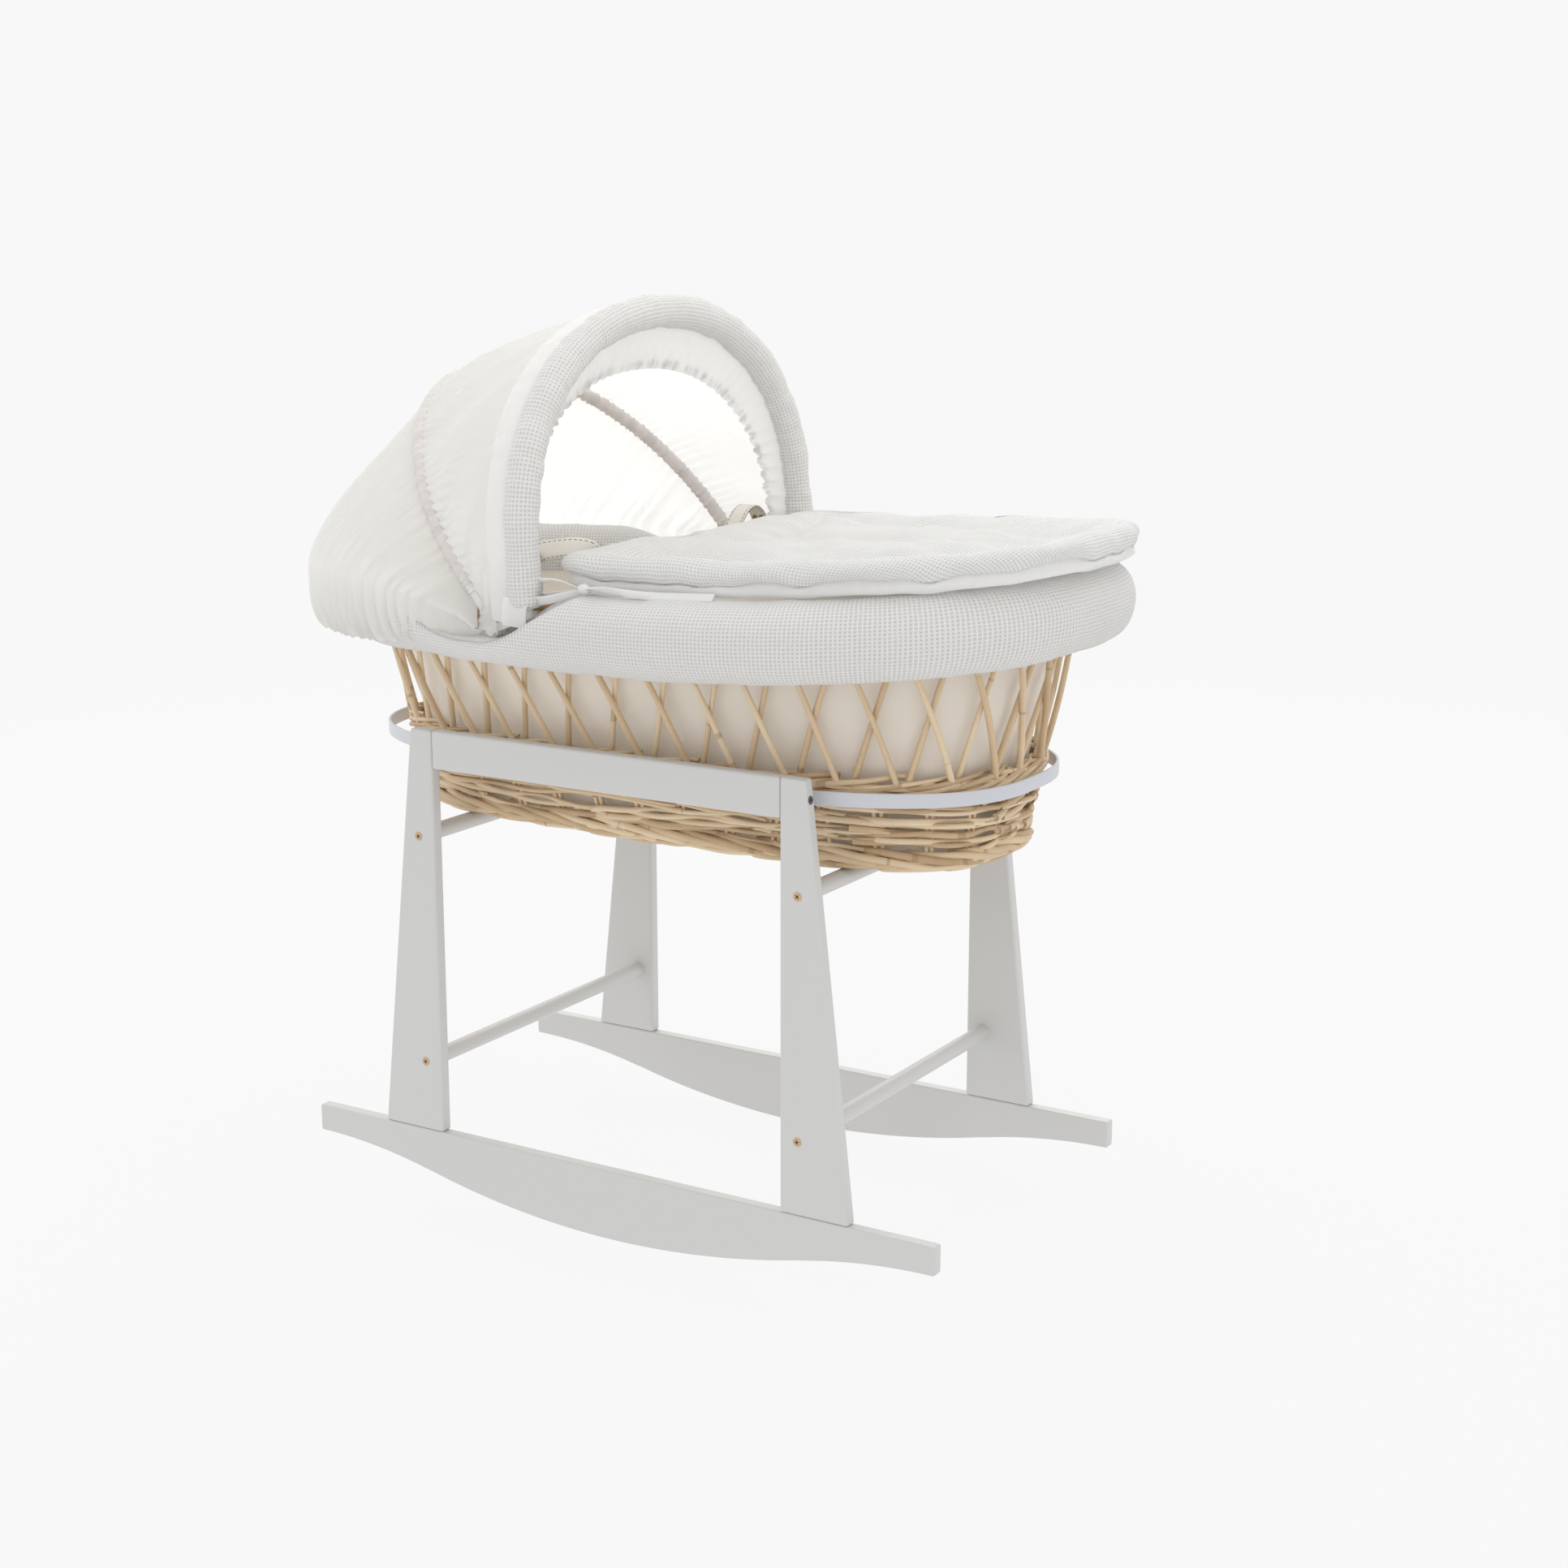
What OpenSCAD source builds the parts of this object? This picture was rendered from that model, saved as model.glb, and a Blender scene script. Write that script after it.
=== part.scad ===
// Wicker Moses basket with a folding hood and bedding, on a wooden rocking stand.
// Millimetres. +Z is up and Z = 0 is the floor under the rockers, +X points to the
// foot end, the hood is at the head end (-X), and the near side of the stand is -Y.

/* [Stand] */
// Length of each rocker
rocker_l = 800; // [700:10:900]
// Height of a rocker at its middle
rocker_h = 78; // [70:1:90]
// Height of a rocker at its two ends
rocker_end_h = 31; // [25:1:40]
// Half the length of the rocker's rolling arc
rocker_arc_x = 240; // [200:5:280]
// Overall width of the stand, outside face to outside face
stand_w = 430; // [400:5:460]
// Thickness of the boards
board_t = 15; // [12:0.5:20]
// Height of the stand, floor to rail top
stand_h = 535.5; // [500:0.5:570]
// Height of the top rail
rail_h = 42.5; // [35:0.5:55]
// Distance from the middle to the inner edge of a leg
leg_in_x = 220; // [200:1:240]
// Distance from the middle to the outer edge of a leg at its foot
leg_foot_x = 301; // [280:1:320]
// Distance from the middle to the outer edge of a leg at its top
leg_top_x = 249; // [245:1:265]

/* [Cross dowels] */
// Diameter of the round dowels
dowel_d = 18; // [16:0.5:22]
// Distance from the middle to the dowels
dowel_x = 241; // [236:1:246]
// Height of the upper dowels, which carry the basket
upper_dowel_z = 416; // [400:1:430]
// Height of the lower dowels
lower_dowel_z = 158; // [130:1:200]

/* [Steel bands] */
// Half the length of the oval that the two bands make
band_a = 397; // [390:1:405]
// Thickness of the flat steel
band_t = 3; // [2:0.5:3]
// Height of the flat steel
band_h = 15; // [12:1:18]
// Height of the bands' top edge above the floor
band_top_z = 517; // [512:1:520]

/* [Basket] */
// How far the basket sits towards the foot end of the stand
basket_x = 8; // [0:1:10]
// Half the length of the wall at the base
base_a = 350; // [340:1:355]
// Half the width of the wall at the base
base_b = 138; // [130:1:142]
// Half the length of the wall at the rim
rim_a = 403; // [398:1:408]
// Half the width of the wall at the rim
rim_b = 236; // [232:1:240]
// Height of the rim's top edge above the floor
rim_top_z = 694; // [685:1:700]
// Top of the woven lower wall
weave_top_z = 530; // [520:1:540]
// Number of crossed stakes each way round the open part of the wall
stake_count = 34; // [26:2:40]
// Diameter of a willow stake
stake_d = 6; // [5:0.5:6.5]

/* [Bumper and bedding] */
// Radius of the padded roll over the rim
roll_r = 41; // [38:0.5:44]
// How far the roll rises at the foot end
foot_rise = 22; // [10:1:24]
// How far the roll rises at the head end
head_rise = 4; // [0:1:8]
// Thickness of the mattress
mattress_t = 38; // [30:1:45]
// Thickness of the folded coverlet
coverlet_t = 20; // [16:1:28]

/* [Hood] */
// Distance of the hinge pins from the middle, towards the head end
hinge_x = 98; // [96:1:100]
// Height of the hinge pins
hinge_z = 662; // [660:1:664]
// Half the width of the front hoop
front_w = 267; // [266:1:270]
// Height of the top of the front hoop above its widest level
front_rise = 226; // [215:1:235]
// Diameter of the padded roll on the front hoop
front_roll_d = 36; // [32:1:37]
// Half the width of the rear hoop
rear_w = 250; // [250:1:252]
// Reach of the rear hoop from the hinge pins
rear_reach = 316; // [305:1:320]
// Lean of the rear hoop behind upright, in degrees
rear_lean = 39; // [36:1:42]

/* [Handles] */
// Width of the leather strap
strap_w = 20; // [16:1:22]
// Thickness of the leather strap
strap_t = 3.5; // [3:0.1:3.6]
// Half the distance between the two ends of a handle
strap_half = 86; // [84:1:88]

/* [Hidden] */

paint = [0.93, 0.93, 0.92];
wood = [0.86, 0.78, 0.66];
willow = [0.80, 0.66, 0.46];
cloth = [0.96, 0.95, 0.93];
cream = [0.94, 0.91, 0.85];
leather = [0.90, 0.87, 0.80];
plastic = [0.92, 0.92, 0.92];
steel = [0.62, 0.63, 0.65];
brass = [0.70, 0.55, 0.33];

face_y = stand_w / 2;                  // outer face of the boards
inner_y = face_y - board_t;            // inner face of the boards
rail_mid_z = stand_h - rail_h / 2;
// slope of a leg's outer edge, and where that edge is at a height
function leg_edge_x(z) = leg_foot_x + (leg_top_x - leg_foot_x) * (z - rocker_h) / (stand_h - rocker_h);

fine = 96;       // facets on rings and bores
fit = 0.05;      // radial clearance of a fitted pin or screw
screw_r = 2.2;   // radius of the wood screws' threads
pin_r = 4;       // radius of the hidden wooden pins
bolt_r = 3;      // radius of the rail bolts
nut_x = 190;     // distance of the barrel nuts from the middle
nut_r = 5;       // radius of the barrel nuts

base_z = upper_dowel_z + dowel_d / 2 + 0.3;   // underside of the basket
base_t = 10;                                  // thickness of the woven base
wall_z0 = 430;                                // level of the base outline
rim_h = 26;                                   // height of the woven rim
rim_t = 14;                                   // thickness of the woven rim
rim_n = 2.6;                                  // squareness of the rim's outline
roll_z = 667;                                 // level of the bumper roll's middle
roll_a = 420;                                 // half length of the roll's middle line
roll_b = 253;                                 // half width of the roll's middle line
roll_n = 2.6;                                 // squareness of the roll's outline

// ---- small helpers ------------------------------------------------------

function spow(v, p) = sign(v) * pow(abs(v), p);
function mix(a, b, t) = a + (b - a) * t;
function total(v) = v * [for (x = v) 1];
function unit(v) = v / norm(v);
function ramp(v, a, b) = max(0, min(1, (v - a) / (b - a)));

// A point of a rounded oblong with half axes a, b and squareness n, and the
// direction that faces outward there.
function oval_pt(a, b, n, ang) =
    let (c = cos(ang), s = sin(ang), r = pow(pow(abs(c), n) + pow(abs(s), n), -1 / n))
    [a * c * r, b * s * r];
function oval_out(a, b, n, p) = unit([spow(p.x / a, n - 1) / a, spow(p.y / b, n - 1) / b]);
// The angle at which the oblong passes a given x, on the +Y side.
function oval_ang(a, n, x) = let (u = x / a) atan2(pow(1 - pow(abs(u), n), 1 / n), u);
function oval(a, b, n, k = 72) = [for (i = [0:k - 1]) oval_pt(a, b, n, 360 * i / k)];

// A closed or open solid through a list of rings of points. The faces are turned
// outward, whichever way the rings run.
function faces_of(k, m, closed, caps = true) = concat(
    [for (i = [0:(closed && caps ? k : k - 1) - 1]) for (j = [0:m - 1])
        let (a = i * m + j, b = i * m + (j + 1) % m,
             c = ((i + 1) % k) * m + (j + 1) % m, d = ((i + 1) % k) * m + j)
        each !caps && j >= m / 2 ? [[a, d, b], [b, d, c]] : [[a, c, b], [a, d, c]]],
    closed || !caps ? [] : [[for (j = [0:m - 1]) j], [for (j = [m - 1:-1:0]) (k - 1) * m + j]]);
function flipped(f) = [for (t = f) [for (i = [len(t) - 1:-1:0]) t[i]]];
function six_volumes(p, f) =
    total([for (t = f) for (i = [1:len(t) - 2]) cross(p[t[0]], p[t[i]]) * p[t[i + 1]]]);
// A loft whose two ends are closed by the given triangles of a ring's points.
module capped_loft(rings, cap) {
    p = [for (r = rings) for (q = r) q];
    m = len(rings[0]);
    last = m * (len(rings) - 1);
    f = concat(faces_of(len(rings), m, false, false), cap,
               flipped([for (t = cap) [for (i = t) i + last]]));
    polyhedron(points = p, faces = six_volumes(p, f) < 0 ? f : flipped(f), convexity = 10);
}
// Triangles of a thin ring whose second half runs back beside the first half.
function strip_cap(m) = [for (j = [0:m / 2 - 2])
    each [[j, j + 1, m - 2 - j], [j, m - 2 - j, m - 1 - j]]];
// Triangles that fan out from point c over points a to b.
function fan(c, a, b) = [for (j = [a:b - 1]) c < a ? [c, j, j + 1] : [j, j + 1, c]];
module loft(rings, closed = false) {
    p = [for (r = rings) for (q = r) q];
    f = faces_of(len(rings), len(rings[0]), closed);
    polyhedron(points = p, faces = six_volumes(p, f) < 0 ? f : flipped(f), convexity = 10);
}

// Direction of travel at point i of a path.
function along(path, i) = unit(path[min(i + 1, len(path) - 1)] - path[max(i - 1, 0)]);
// A round tube of radius r along a path; side is a direction that is never along it.
function tube_rings(path, r, side, k) = [for (i = [0:len(path) - 1])
    let (t = along(path, i), u = unit(cross(t, side)), v = cross(t, u), ri = is_list(r) ? r[i] : r)
    [for (j = [0:k - 1]) path[i] + ri * (cos(360 * j / k) * u + sin(360 * j / k) * v)]];

module rod_between(p, q, d) {
    v = q - p;
    translate(p) rotate([0, acos(v.z / norm(v)), atan2(v.y, v.x)])
        cylinder(d = d, h = norm(v), $fn = 24);
}
// Lays a drawing in X and Z into the near frame of the stand, board_t thick.
module near_board() { translate([0, -inner_y, 0]) rotate([90, 0, 0]) linear_extrude(board_t) children(); }
module far_side() { mirror([0, 1, 0]) children(); }
module head_end() { mirror([1, 0, 0]) children(); }
module four_ways() { for (a = [0, 1]) for (b = [0, 1]) mirror([a, 0, 0]) mirror([0, b, 0]) children(); }
module two_ways() { children(); far_side() children(); }
module along_y(x, y, z, r, h) { translate([x, y, z]) rotate([-90, 0, 0]) cylinder(r = r, h = h, $fn = fine); }
module along_x(x, y, z, r, h) { translate([x, y, z]) rotate([0, 90, 0]) cylinder(r = r, h = h, $fn = fine); }

// ---- stand --------------------------------------------------------------

arc_r = (rocker_arc_x * rocker_arc_x + 28.5 * 28.5) / (2 * 28.5);   // rolling radius
arc_slope = asin(rocker_arc_x / arc_r);
tip_r = (rocker_l / 2 - rocker_arc_x) / sin(arc_slope);             // hollow radius at the tips
tip_z = rocker_h - rocker_end_h;
leg_pin_x = [leg_in_x + 20, leg_foot_x - 20];
leg_pin_l = 40;

module rocker_shape() {
    intersection() {
        translate([0, arc_r]) circle(r = arc_r, $fn = 720);
        translate([-rocker_arc_x, 0]) square([2 * rocker_arc_x, rocker_h]);
    }
    for (s = [0, 1]) mirror([s, 0]) difference() {
        translate([rocker_arc_x - 0.01, 0]) square([rocker_l / 2 - rocker_arc_x + 0.01, rocker_h]);
        translate([rocker_l / 2, tip_z - tip_r]) circle(r = tip_r, $fn = 720);
    }
}
module rocker() {
    color(paint) difference() {
        near_board() rocker_shape();
        for (s = [-1, 1]) for (x = leg_pin_x)
            translate([s * x, -inner_y - board_t / 2, rocker_h - leg_pin_l / 2 - 1])
                cylinder(r = pin_r + fit, h = leg_pin_l, $fn = fine);
    }
}
module leg() {
    color(paint) difference() {
        near_board() polygon([[leg_in_x, rocker_h], [leg_foot_x, rocker_h],
                              [leg_top_x, stand_h], [leg_in_x, stand_h]]);
        for (z = [upper_dowel_z, lower_dowel_z]) {
            along_y(dowel_x, -face_y - 1, z, screw_r + 0.3, board_t + 2);
            translate([dowel_x, -face_y, z]) rotate([-90, 0, 0])
                cylinder(r1 = screw_r + 3, r2 = screw_r + 0.3, h = 3, $fn = fine);
        }
        along_x(leg_in_x - 1, -inner_y - board_t / 2, rail_mid_z, bolt_r + 0.2, 60);
        along_x(leg_in_x + 22, -inner_y - board_t / 2, rail_mid_z, 4.6, 20);
        for (x = leg_pin_x) translate([x, -inner_y - board_t / 2, rocker_h - 1])
            cylinder(r = pin_r + fit, h = leg_pin_l / 2 + 2, $fn = fine);
    }
}
module rail() {
    color(paint) difference() {
        near_board() translate([-leg_in_x, stand_h - rail_h]) square([2 * leg_in_x, rail_h]);
        for (s = [0, 1]) mirror([s, 0, 0]) {
            along_x(nut_x - 12, -inner_y - board_t / 2, rail_mid_z, bolt_r + 0.2, 60);
            along_y(nut_x, -inner_y - 12.2, rail_mid_z, nut_r + fit, 20);
            along_y(band_screw_x, -inner_y - band_screw_l, band_mid_z, 2 + fit, 20);
        }
    }
}
module dowel(z) {
    color(paint) difference() {
        along_y(dowel_x, -inner_y, z, dowel_d / 2, 2 * inner_y);
        for (s = [-1, 1]) along_y(dowel_x, s * inner_y - 32, z, screw_r + fit, 64);
    }
}
// A countersunk cross-head screw along +Z, with its head's face at Z = 0.
module wood_screw(l) {
    difference() {
        union() {
            cylinder(r1 = screw_r + 2.7, r2 = screw_r, h = 2.7, $fn = fine);
            cylinder(r = screw_r, h = l, $fn = fine);
        }
        for (a = [0, 90]) rotate([0, 0, a]) translate([-2.4, -0.5, -1]) cube([4.8, 1, 2.6]);
    }
}
module dowel_screws() {
    color(brass) four_ways() for (z = [upper_dowel_z, lower_dowel_z])
        translate([dowel_x, -face_y + 0.15, z]) rotate([-90, 0, 0]) wood_screw(45);
}
module rail_bolts() {
    color(steel) four_ways() difference() {
        union() {
            along_x(nut_x - 10, -inner_y - board_t / 2, rail_mid_z, bolt_r, leg_in_x + 22 - nut_x + 10);
            along_x(leg_in_x + 22, -inner_y - board_t / 2, rail_mid_z, 4.4, 4.5);
        }
        translate([leg_in_x + 24, -inner_y - board_t / 2, rail_mid_z]) rotate([0, 90, 0])
            cylinder(r = 2.3, h = 5, $fn = 6);
    }
}
module barrel_nuts() {
    color(steel) four_ways() difference() {
        along_y(nut_x, -inner_y - 12, rail_mid_z, nut_r, 12);
        along_x(nut_x - 10, -inner_y - board_t / 2, rail_mid_z, bolt_r + fit, 20);
    }
}
module leg_pins() {
    color(wood) four_ways() for (x = leg_pin_x)
        translate([x, -inner_y - board_t / 2, rocker_h - leg_pin_l / 2])
            cylinder(r = pin_r, h = leg_pin_l, $fn = fine);
}

band_b = inner_y;                 // the bands touch the rails' inner faces
band_n = 2.75;
band_mid_z = band_top_z - band_h / 2;
band_screw_x = 34;
band_screw_l = 10;
band_gap = 2;                     // gap between the two bands' ends
module band() {
    color(paint) difference() {
        translate([0, 0, band_top_z - band_h]) linear_extrude(band_h) difference() {
            polygon(oval(band_a, band_b, band_n, 144));
            polygon(oval(band_a - band_t, band_b - band_t, band_n, 144));
            translate([-500, -300]) square([500 + band_gap / 2, 600]);
        }
        along_y(band_screw_x, -300, band_mid_z, 2 + 0.2, 600);
    }
}
module band_screws() {
    color(steel) four_ways() {
        along_y(band_screw_x, -inner_y - band_screw_l + 1, band_mid_z, 2, band_screw_l + band_t);
        along_y(band_screw_x, -inner_y + band_t + 0.15, band_mid_z, 4.5, 2);
    }
}

// ---- basket -------------------------------------------------------------

// The wall's middle line flares from the base to the rim and grows rounder.
function wall_t(z) = (z - wall_z0) / (rim_top_z - wall_z0);
function wall_a(z) = mix(base_a, rim_a, wall_t(z));
function wall_b(z) = mix(base_b, rim_b, wall_t(z));
function wall_n(z) = mix(3.3, rim_n, wall_t(z));
module wall_slab(z, off) {
    translate([basket_x, 0, z]) linear_extrude(0.01)
        polygon(oval(wall_a(z) + off, wall_b(z) + off, wall_n(z)));
}
module wall_shell(z0, z1, out, in) {
    difference() {
        hull() { wall_slab(z0, out); wall_slab(z1 - 0.01, out); }
        hull() { wall_slab(z0 - 0.02, in); wall_slab(z1 + 0.01, in); }
    }
}
module oval_ring(a, b, n, t, z, h) {
    translate([basket_x, 0, z]) linear_extrude(h) difference() {
        polygon(oval(a + t / 2, b + t / 2, n, 96));
        polygon(oval(a - t / 2, b - t / 2, n, 96));
    }
}
module basket_base() {
    color(willow) translate([basket_x, 0, base_z]) linear_extrude(base_t)
        polygon(oval(base_a - 11.2, base_b - 11.2, 3.3, 96));
}
module base_border() { color(willow) oval_ring(base_a, base_b, 3.3, 22, base_z, 16); }
module side_weave() { color(willow) wall_shell(base_z + 16.2, weave_top_z - 26, 7, -6); }
module upper_waling() { color(willow) wall_shell(weave_top_z - 25.8, weave_top_z, 9, -9); }
module basket_rim() { color(willow) oval_ring(rim_a, rim_b, rim_n, rim_t, rim_top_z - rim_h, rim_h); }

// Length round the wall at the level where the stakes cross, against the angle.
cross_z = 592;
function wall_pt(z, ang, off) =
    let (p = oval_pt(wall_a(z), wall_b(z), wall_n(z), ang),
         q = p + off * oval_out(wall_a(z), wall_b(z), wall_n(z), p))
    [q.x + basket_x, q.y, z];
round_table = [for (i = 0, s = 0; i <= 360;
                    s = s + norm(wall_pt(cross_z, i + 1, 0) - wall_pt(cross_z, i, 0)), i = i + 1)
               [s, i]];
wall_round = round_table[360][0];
function ang_at(s) = lookup((s + 2 * wall_round) % wall_round, round_table);
stake_pitch = wall_round / stake_count;
stake_z0 = weave_top_z - 6;
stake_z1 = rim_top_z - rim_h + 6;
stake_off = 4.2;                 // the two layers of stakes lie this far from the middle line
module stakes(dir) {
    part_low = (cross_z - stake_z0) / (stake_z1 - stake_z0);
    for (k = [0:stake_count - 1]) {
        s = (k + 0.5) * stake_pitch;
        rod_between(wall_pt(stake_z0, ang_at(s + dir * part_low * 0.9 * stake_pitch), dir * stake_off),
                    wall_pt(stake_z1, ang_at(s - dir * (1 - part_low) * 0.9 * stake_pitch), dir * stake_off),
                    stake_d);
    }
}
module lattice_outer() { color(willow) stakes(1); }
module lattice_inner() { color(willow) stakes(-1); }

mattress_z = base_z + base_t + 1;
module mattress() {
    color(cloth) translate([basket_x, 0, mattress_z]) linear_extrude(mattress_t)
        polygon(oval(base_a - 21, base_b - 19, 3.2));
}
liner_top_z = roll_z - 22;
module liner() { color(cream) wall_shell(base_z + 16.3, liner_top_z, -13, -16.5); }

// Bumper: a padded roll that wraps over the rim, in two solids with a gap at the
// hood clips, and lowered on its outer side where the hoops swing.
gap_x = [-hinge_x - 24, -hinge_x + 12];
slot = [-26, -8];                // the rim stands in this slot of the section
slot_top = 29;
slot_foot = -31;
inner_leg_v = 9;                 // above the tops of the inner stakes
outer_wall = -5.5;               // outer face of the cloth just outside the rim
function roll_path_z(x) = roll_z + (x > 0 ? foot_rise : head_rise) * pow(x / roll_a, 2);
function outer_limit(x) = x < gap_x[0]
    ? mix(-12, roll_r, ramp(-x, -gap_x[0], 300))
    : mix(-12, roll_r, ramp(x, gap_x[1], 30));
function roll_arc(a0, a1, k) =
    [for (i = [0:k]) oval_pt(roll_r, roll_r, roll_n, mix(a0, a1, i / k))];
// Presses a point of the section down to a low crown, and a little inward.
function pressed(p, lim) =
    let (top = lim + 3 - 3 * pow(p.x / roll_r, 2), over = max(0, p.y - top))
    [p.x * (1 - over / 260), p.y - over];
function roll_section(x) = let (lim = outer_limit(x)) concat(
    [[slot[1], slot_foot]],
    [for (p = roll_arc(-98, 84, 13)) pressed(p, lim)],
    [[outer_wall + 0.6, min(lim + 2.5, roll_r - 0.1)], [outer_wall, roll_r - 0.3]],
    roll_arc(104, 166, 5),
    [[-roll_r + 0.2, inner_leg_v], [slot[0], inner_leg_v], [slot[0], slot_top], [slot[1], slot_top]]);
// The section's outer leg fans out from its foot, and its bridge from the slot's corner.
roll_cap = concat(fan(0, 1, 16), [[0, 16, 26], [16, 25, 26]], fan(25, 16, 24));
module roll_part(ang0, ang1, steps) {
    capped_loft([for (i = [0:steps])
        let (a = mix(ang0, ang1, i / steps), p = oval_pt(roll_a, roll_b, roll_n, a),
             o = oval_out(roll_a, roll_b, roll_n, p), x = p.x + basket_x)
        [for (q = roll_section(x)) [x + q.x * o.x, p.y + q.x * o.y, roll_path_z(p.x) + q.y]]], roll_cap);
}
function roll_ang(x) = oval_ang(roll_a, roll_n, x - basket_x);
module bumper() {
    color(cloth) {
        roll_part(-roll_ang(gap_x[1]), roll_ang(gap_x[1]), 46);
        roll_part(roll_ang(gap_x[0]), 360 - roll_ang(gap_x[0]), 32);
    }
}
// Tape bow that closes the slit in the bumper beside a handle.
tie_x = 6;
module tie() {
    color(cloth) translate([tie_x, -roll_b + 2, roll_z + roll_r + 0.3]) {
        translate([-5, -5, 0]) cube([10, 10, 6]);
        for (s = [-1, 1]) rotate([0, 0, s * 8]) translate([s > 0 ? 5.5 : -50.5, -4, 1]) cube([45, 8, 3]);
    }
}

// ---- hood clips and hoops ----------------------------------------------

clip_x0 = -hinge_x - 20;
clip_w = 24;
rim_y_at_clip = rim_b * pow(1 - pow((hinge_x + basket_x) / rim_a, rim_n), 1 / rim_n);
clip_out_y = rim_y_at_clip + rim_t / 2 + 2.4;
clip_in_y = rim_y_at_clip - rim_t / 2 - 2.4;
boss_y = clip_out_y + 4;
hinge_pin_r = 4;
eye_r = 8;
eye_t = 5;
rear_eye_y = boss_y + 2.4;
front_eye_y = rear_eye_y + eye_t + 0.8;
pin_end_y = front_eye_y + eye_t + 0.6;
// Clip on the near side: a saddle over the rim, a boss, the hinge pin and its head.
module hood_clip() {
    color(plastic) {
        translate([clip_x0, -clip_out_y - 4, hinge_z - 10]) cube([clip_w, 4, rim_top_z + 4.5 - hinge_z + 10]);
        translate([clip_x0, -clip_out_y - 4, rim_top_z + 1])
            cube([clip_w, clip_out_y + 7 - clip_in_y, 3.5]);
        translate([clip_x0, -clip_in_y, rim_top_z - 16]) cube([clip_w, 3, 18]);
        along_y(-hinge_x, -boss_y - 2, hinge_z, 7, 2.5);
        along_y(-hinge_x, -pin_end_y, hinge_z, hinge_pin_r, pin_end_y - boss_y);
        along_y(-hinge_x, -pin_end_y - 2.5, hinge_z, 6, 2.5);
    }
}
module eye(y) {
    difference() {
        along_y(-hinge_x, -y - eye_t, hinge_z, eye_r, eye_t);
        along_y(-hinge_x, -y - eye_t - 1, hinge_z, hinge_pin_r + fit, eye_t + 2);
    }
}

// Rear hoop: an arch in a plane through the hinge pins, with straight lower ends that
// stand in the sockets of the arms.
rear_foot = 52;                  // reach at which the straight ends begin
rear_n = 2;
rear_mid = 68;                   // reach at which the rear hoop is widest
socket_r = 6.5;
function rear_dir(lean) = [-sin(lean), 0, cos(lean)];
function rear_at(y, r) = [-hinge_x, y, hinge_z] + r * rear_dir(rear_lean);
function rear_pt(s) = let (a = 180 * s)
    rear_at(-rear_w * spow(cos(a), 2 / rear_n),
            rear_mid + (rear_reach - rear_mid) * spow(sin(a), 2 / rear_n));
rear_path = concat([rear_at(-rear_w, rear_foot), rear_at(-rear_w, (rear_foot + rear_mid) / 2)],
                   [for (i = [0:34]) rear_pt(i / 34)],
                   [rear_at(rear_w, (rear_foot + rear_mid) / 2), rear_at(rear_w, rear_foot)]);
rod_r = 4;
module rear_arm() {
    color(plastic) {
        eye(rear_eye_y);
        translate([-hinge_x, 0, hinge_z]) rotate([0, -rear_lean, 0]) {
            translate([-4, -rear_eye_y - eye_t, eye_r - 0.6]) cube([8, eye_t, rear_foot - eye_r - 2]);
            difference() {
                translate([0, -rear_w, rear_foot - 6]) cylinder(r = socket_r, h = 18, $fn = fine);
                translate([0, -rear_w, rear_foot - 0.2]) cylinder(r = rod_r + fit, h = 20, $fn = fine);
            }
        }
    }
}
module rear_hoop() { color(wood) loft(tube_rings(rear_path, rod_r, [1, 0, 0.9], 10)); }
module rear_sleeve() {
    color(cloth) loft(tube_rings([for (i = [3:35]) rear_path[i]], rod_r + 2, [1, 0, 0.9], 10));
}

// Front hoop: an arch that leans back a little, with straight lower ends.
front_mid_z = 750;               // level where the front hoop is widest
front_foot_z = 686;
front_lean = 2.8;
front_n = 2.15;
front_x0 = -44;                  // where the plane of the front hoop meets its lower level
front_z0 = 604;
function front_x(z) = front_x0 - (z - front_z0) * tan(front_lean);
front_leg_steps = 4;
front_path = concat(
    [for (i = [0:front_leg_steps - 1]) let (z = mix(front_foot_z, front_mid_z, i / front_leg_steps))
        [front_x(z), -front_w, z]],
    [for (i = [0:32]) let (a = 180 * i / 32,
        z = front_mid_z + front_rise * spow(sin(a), 2 / front_n))
        [front_x(z), -front_w * spow(cos(a), 2 / front_n), z]],
    [for (i = [front_leg_steps - 1:-1:0]) let (z = mix(front_foot_z, front_mid_z, i / front_leg_steps))
        [front_x(z), front_w, z]]);
front_last = len(front_path) - 1;
front_side = [1, 0, -0.05];      // a direction across the front hoop's plane
module front_hoop() { color(wood) loft(tube_rings(front_path, rod_r, front_side, 10)); }
module front_roll() {
    keep = [for (i = [1:front_last - 1]) front_path[i]];
    r = [for (i = [0:len(keep) - 1]) front_roll_d / 2 - (i == 0 || i == len(keep) - 1 ? 3 : 0)];
    color(cloth) loft(tube_rings(keep, r, front_side, 14));
}
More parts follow.
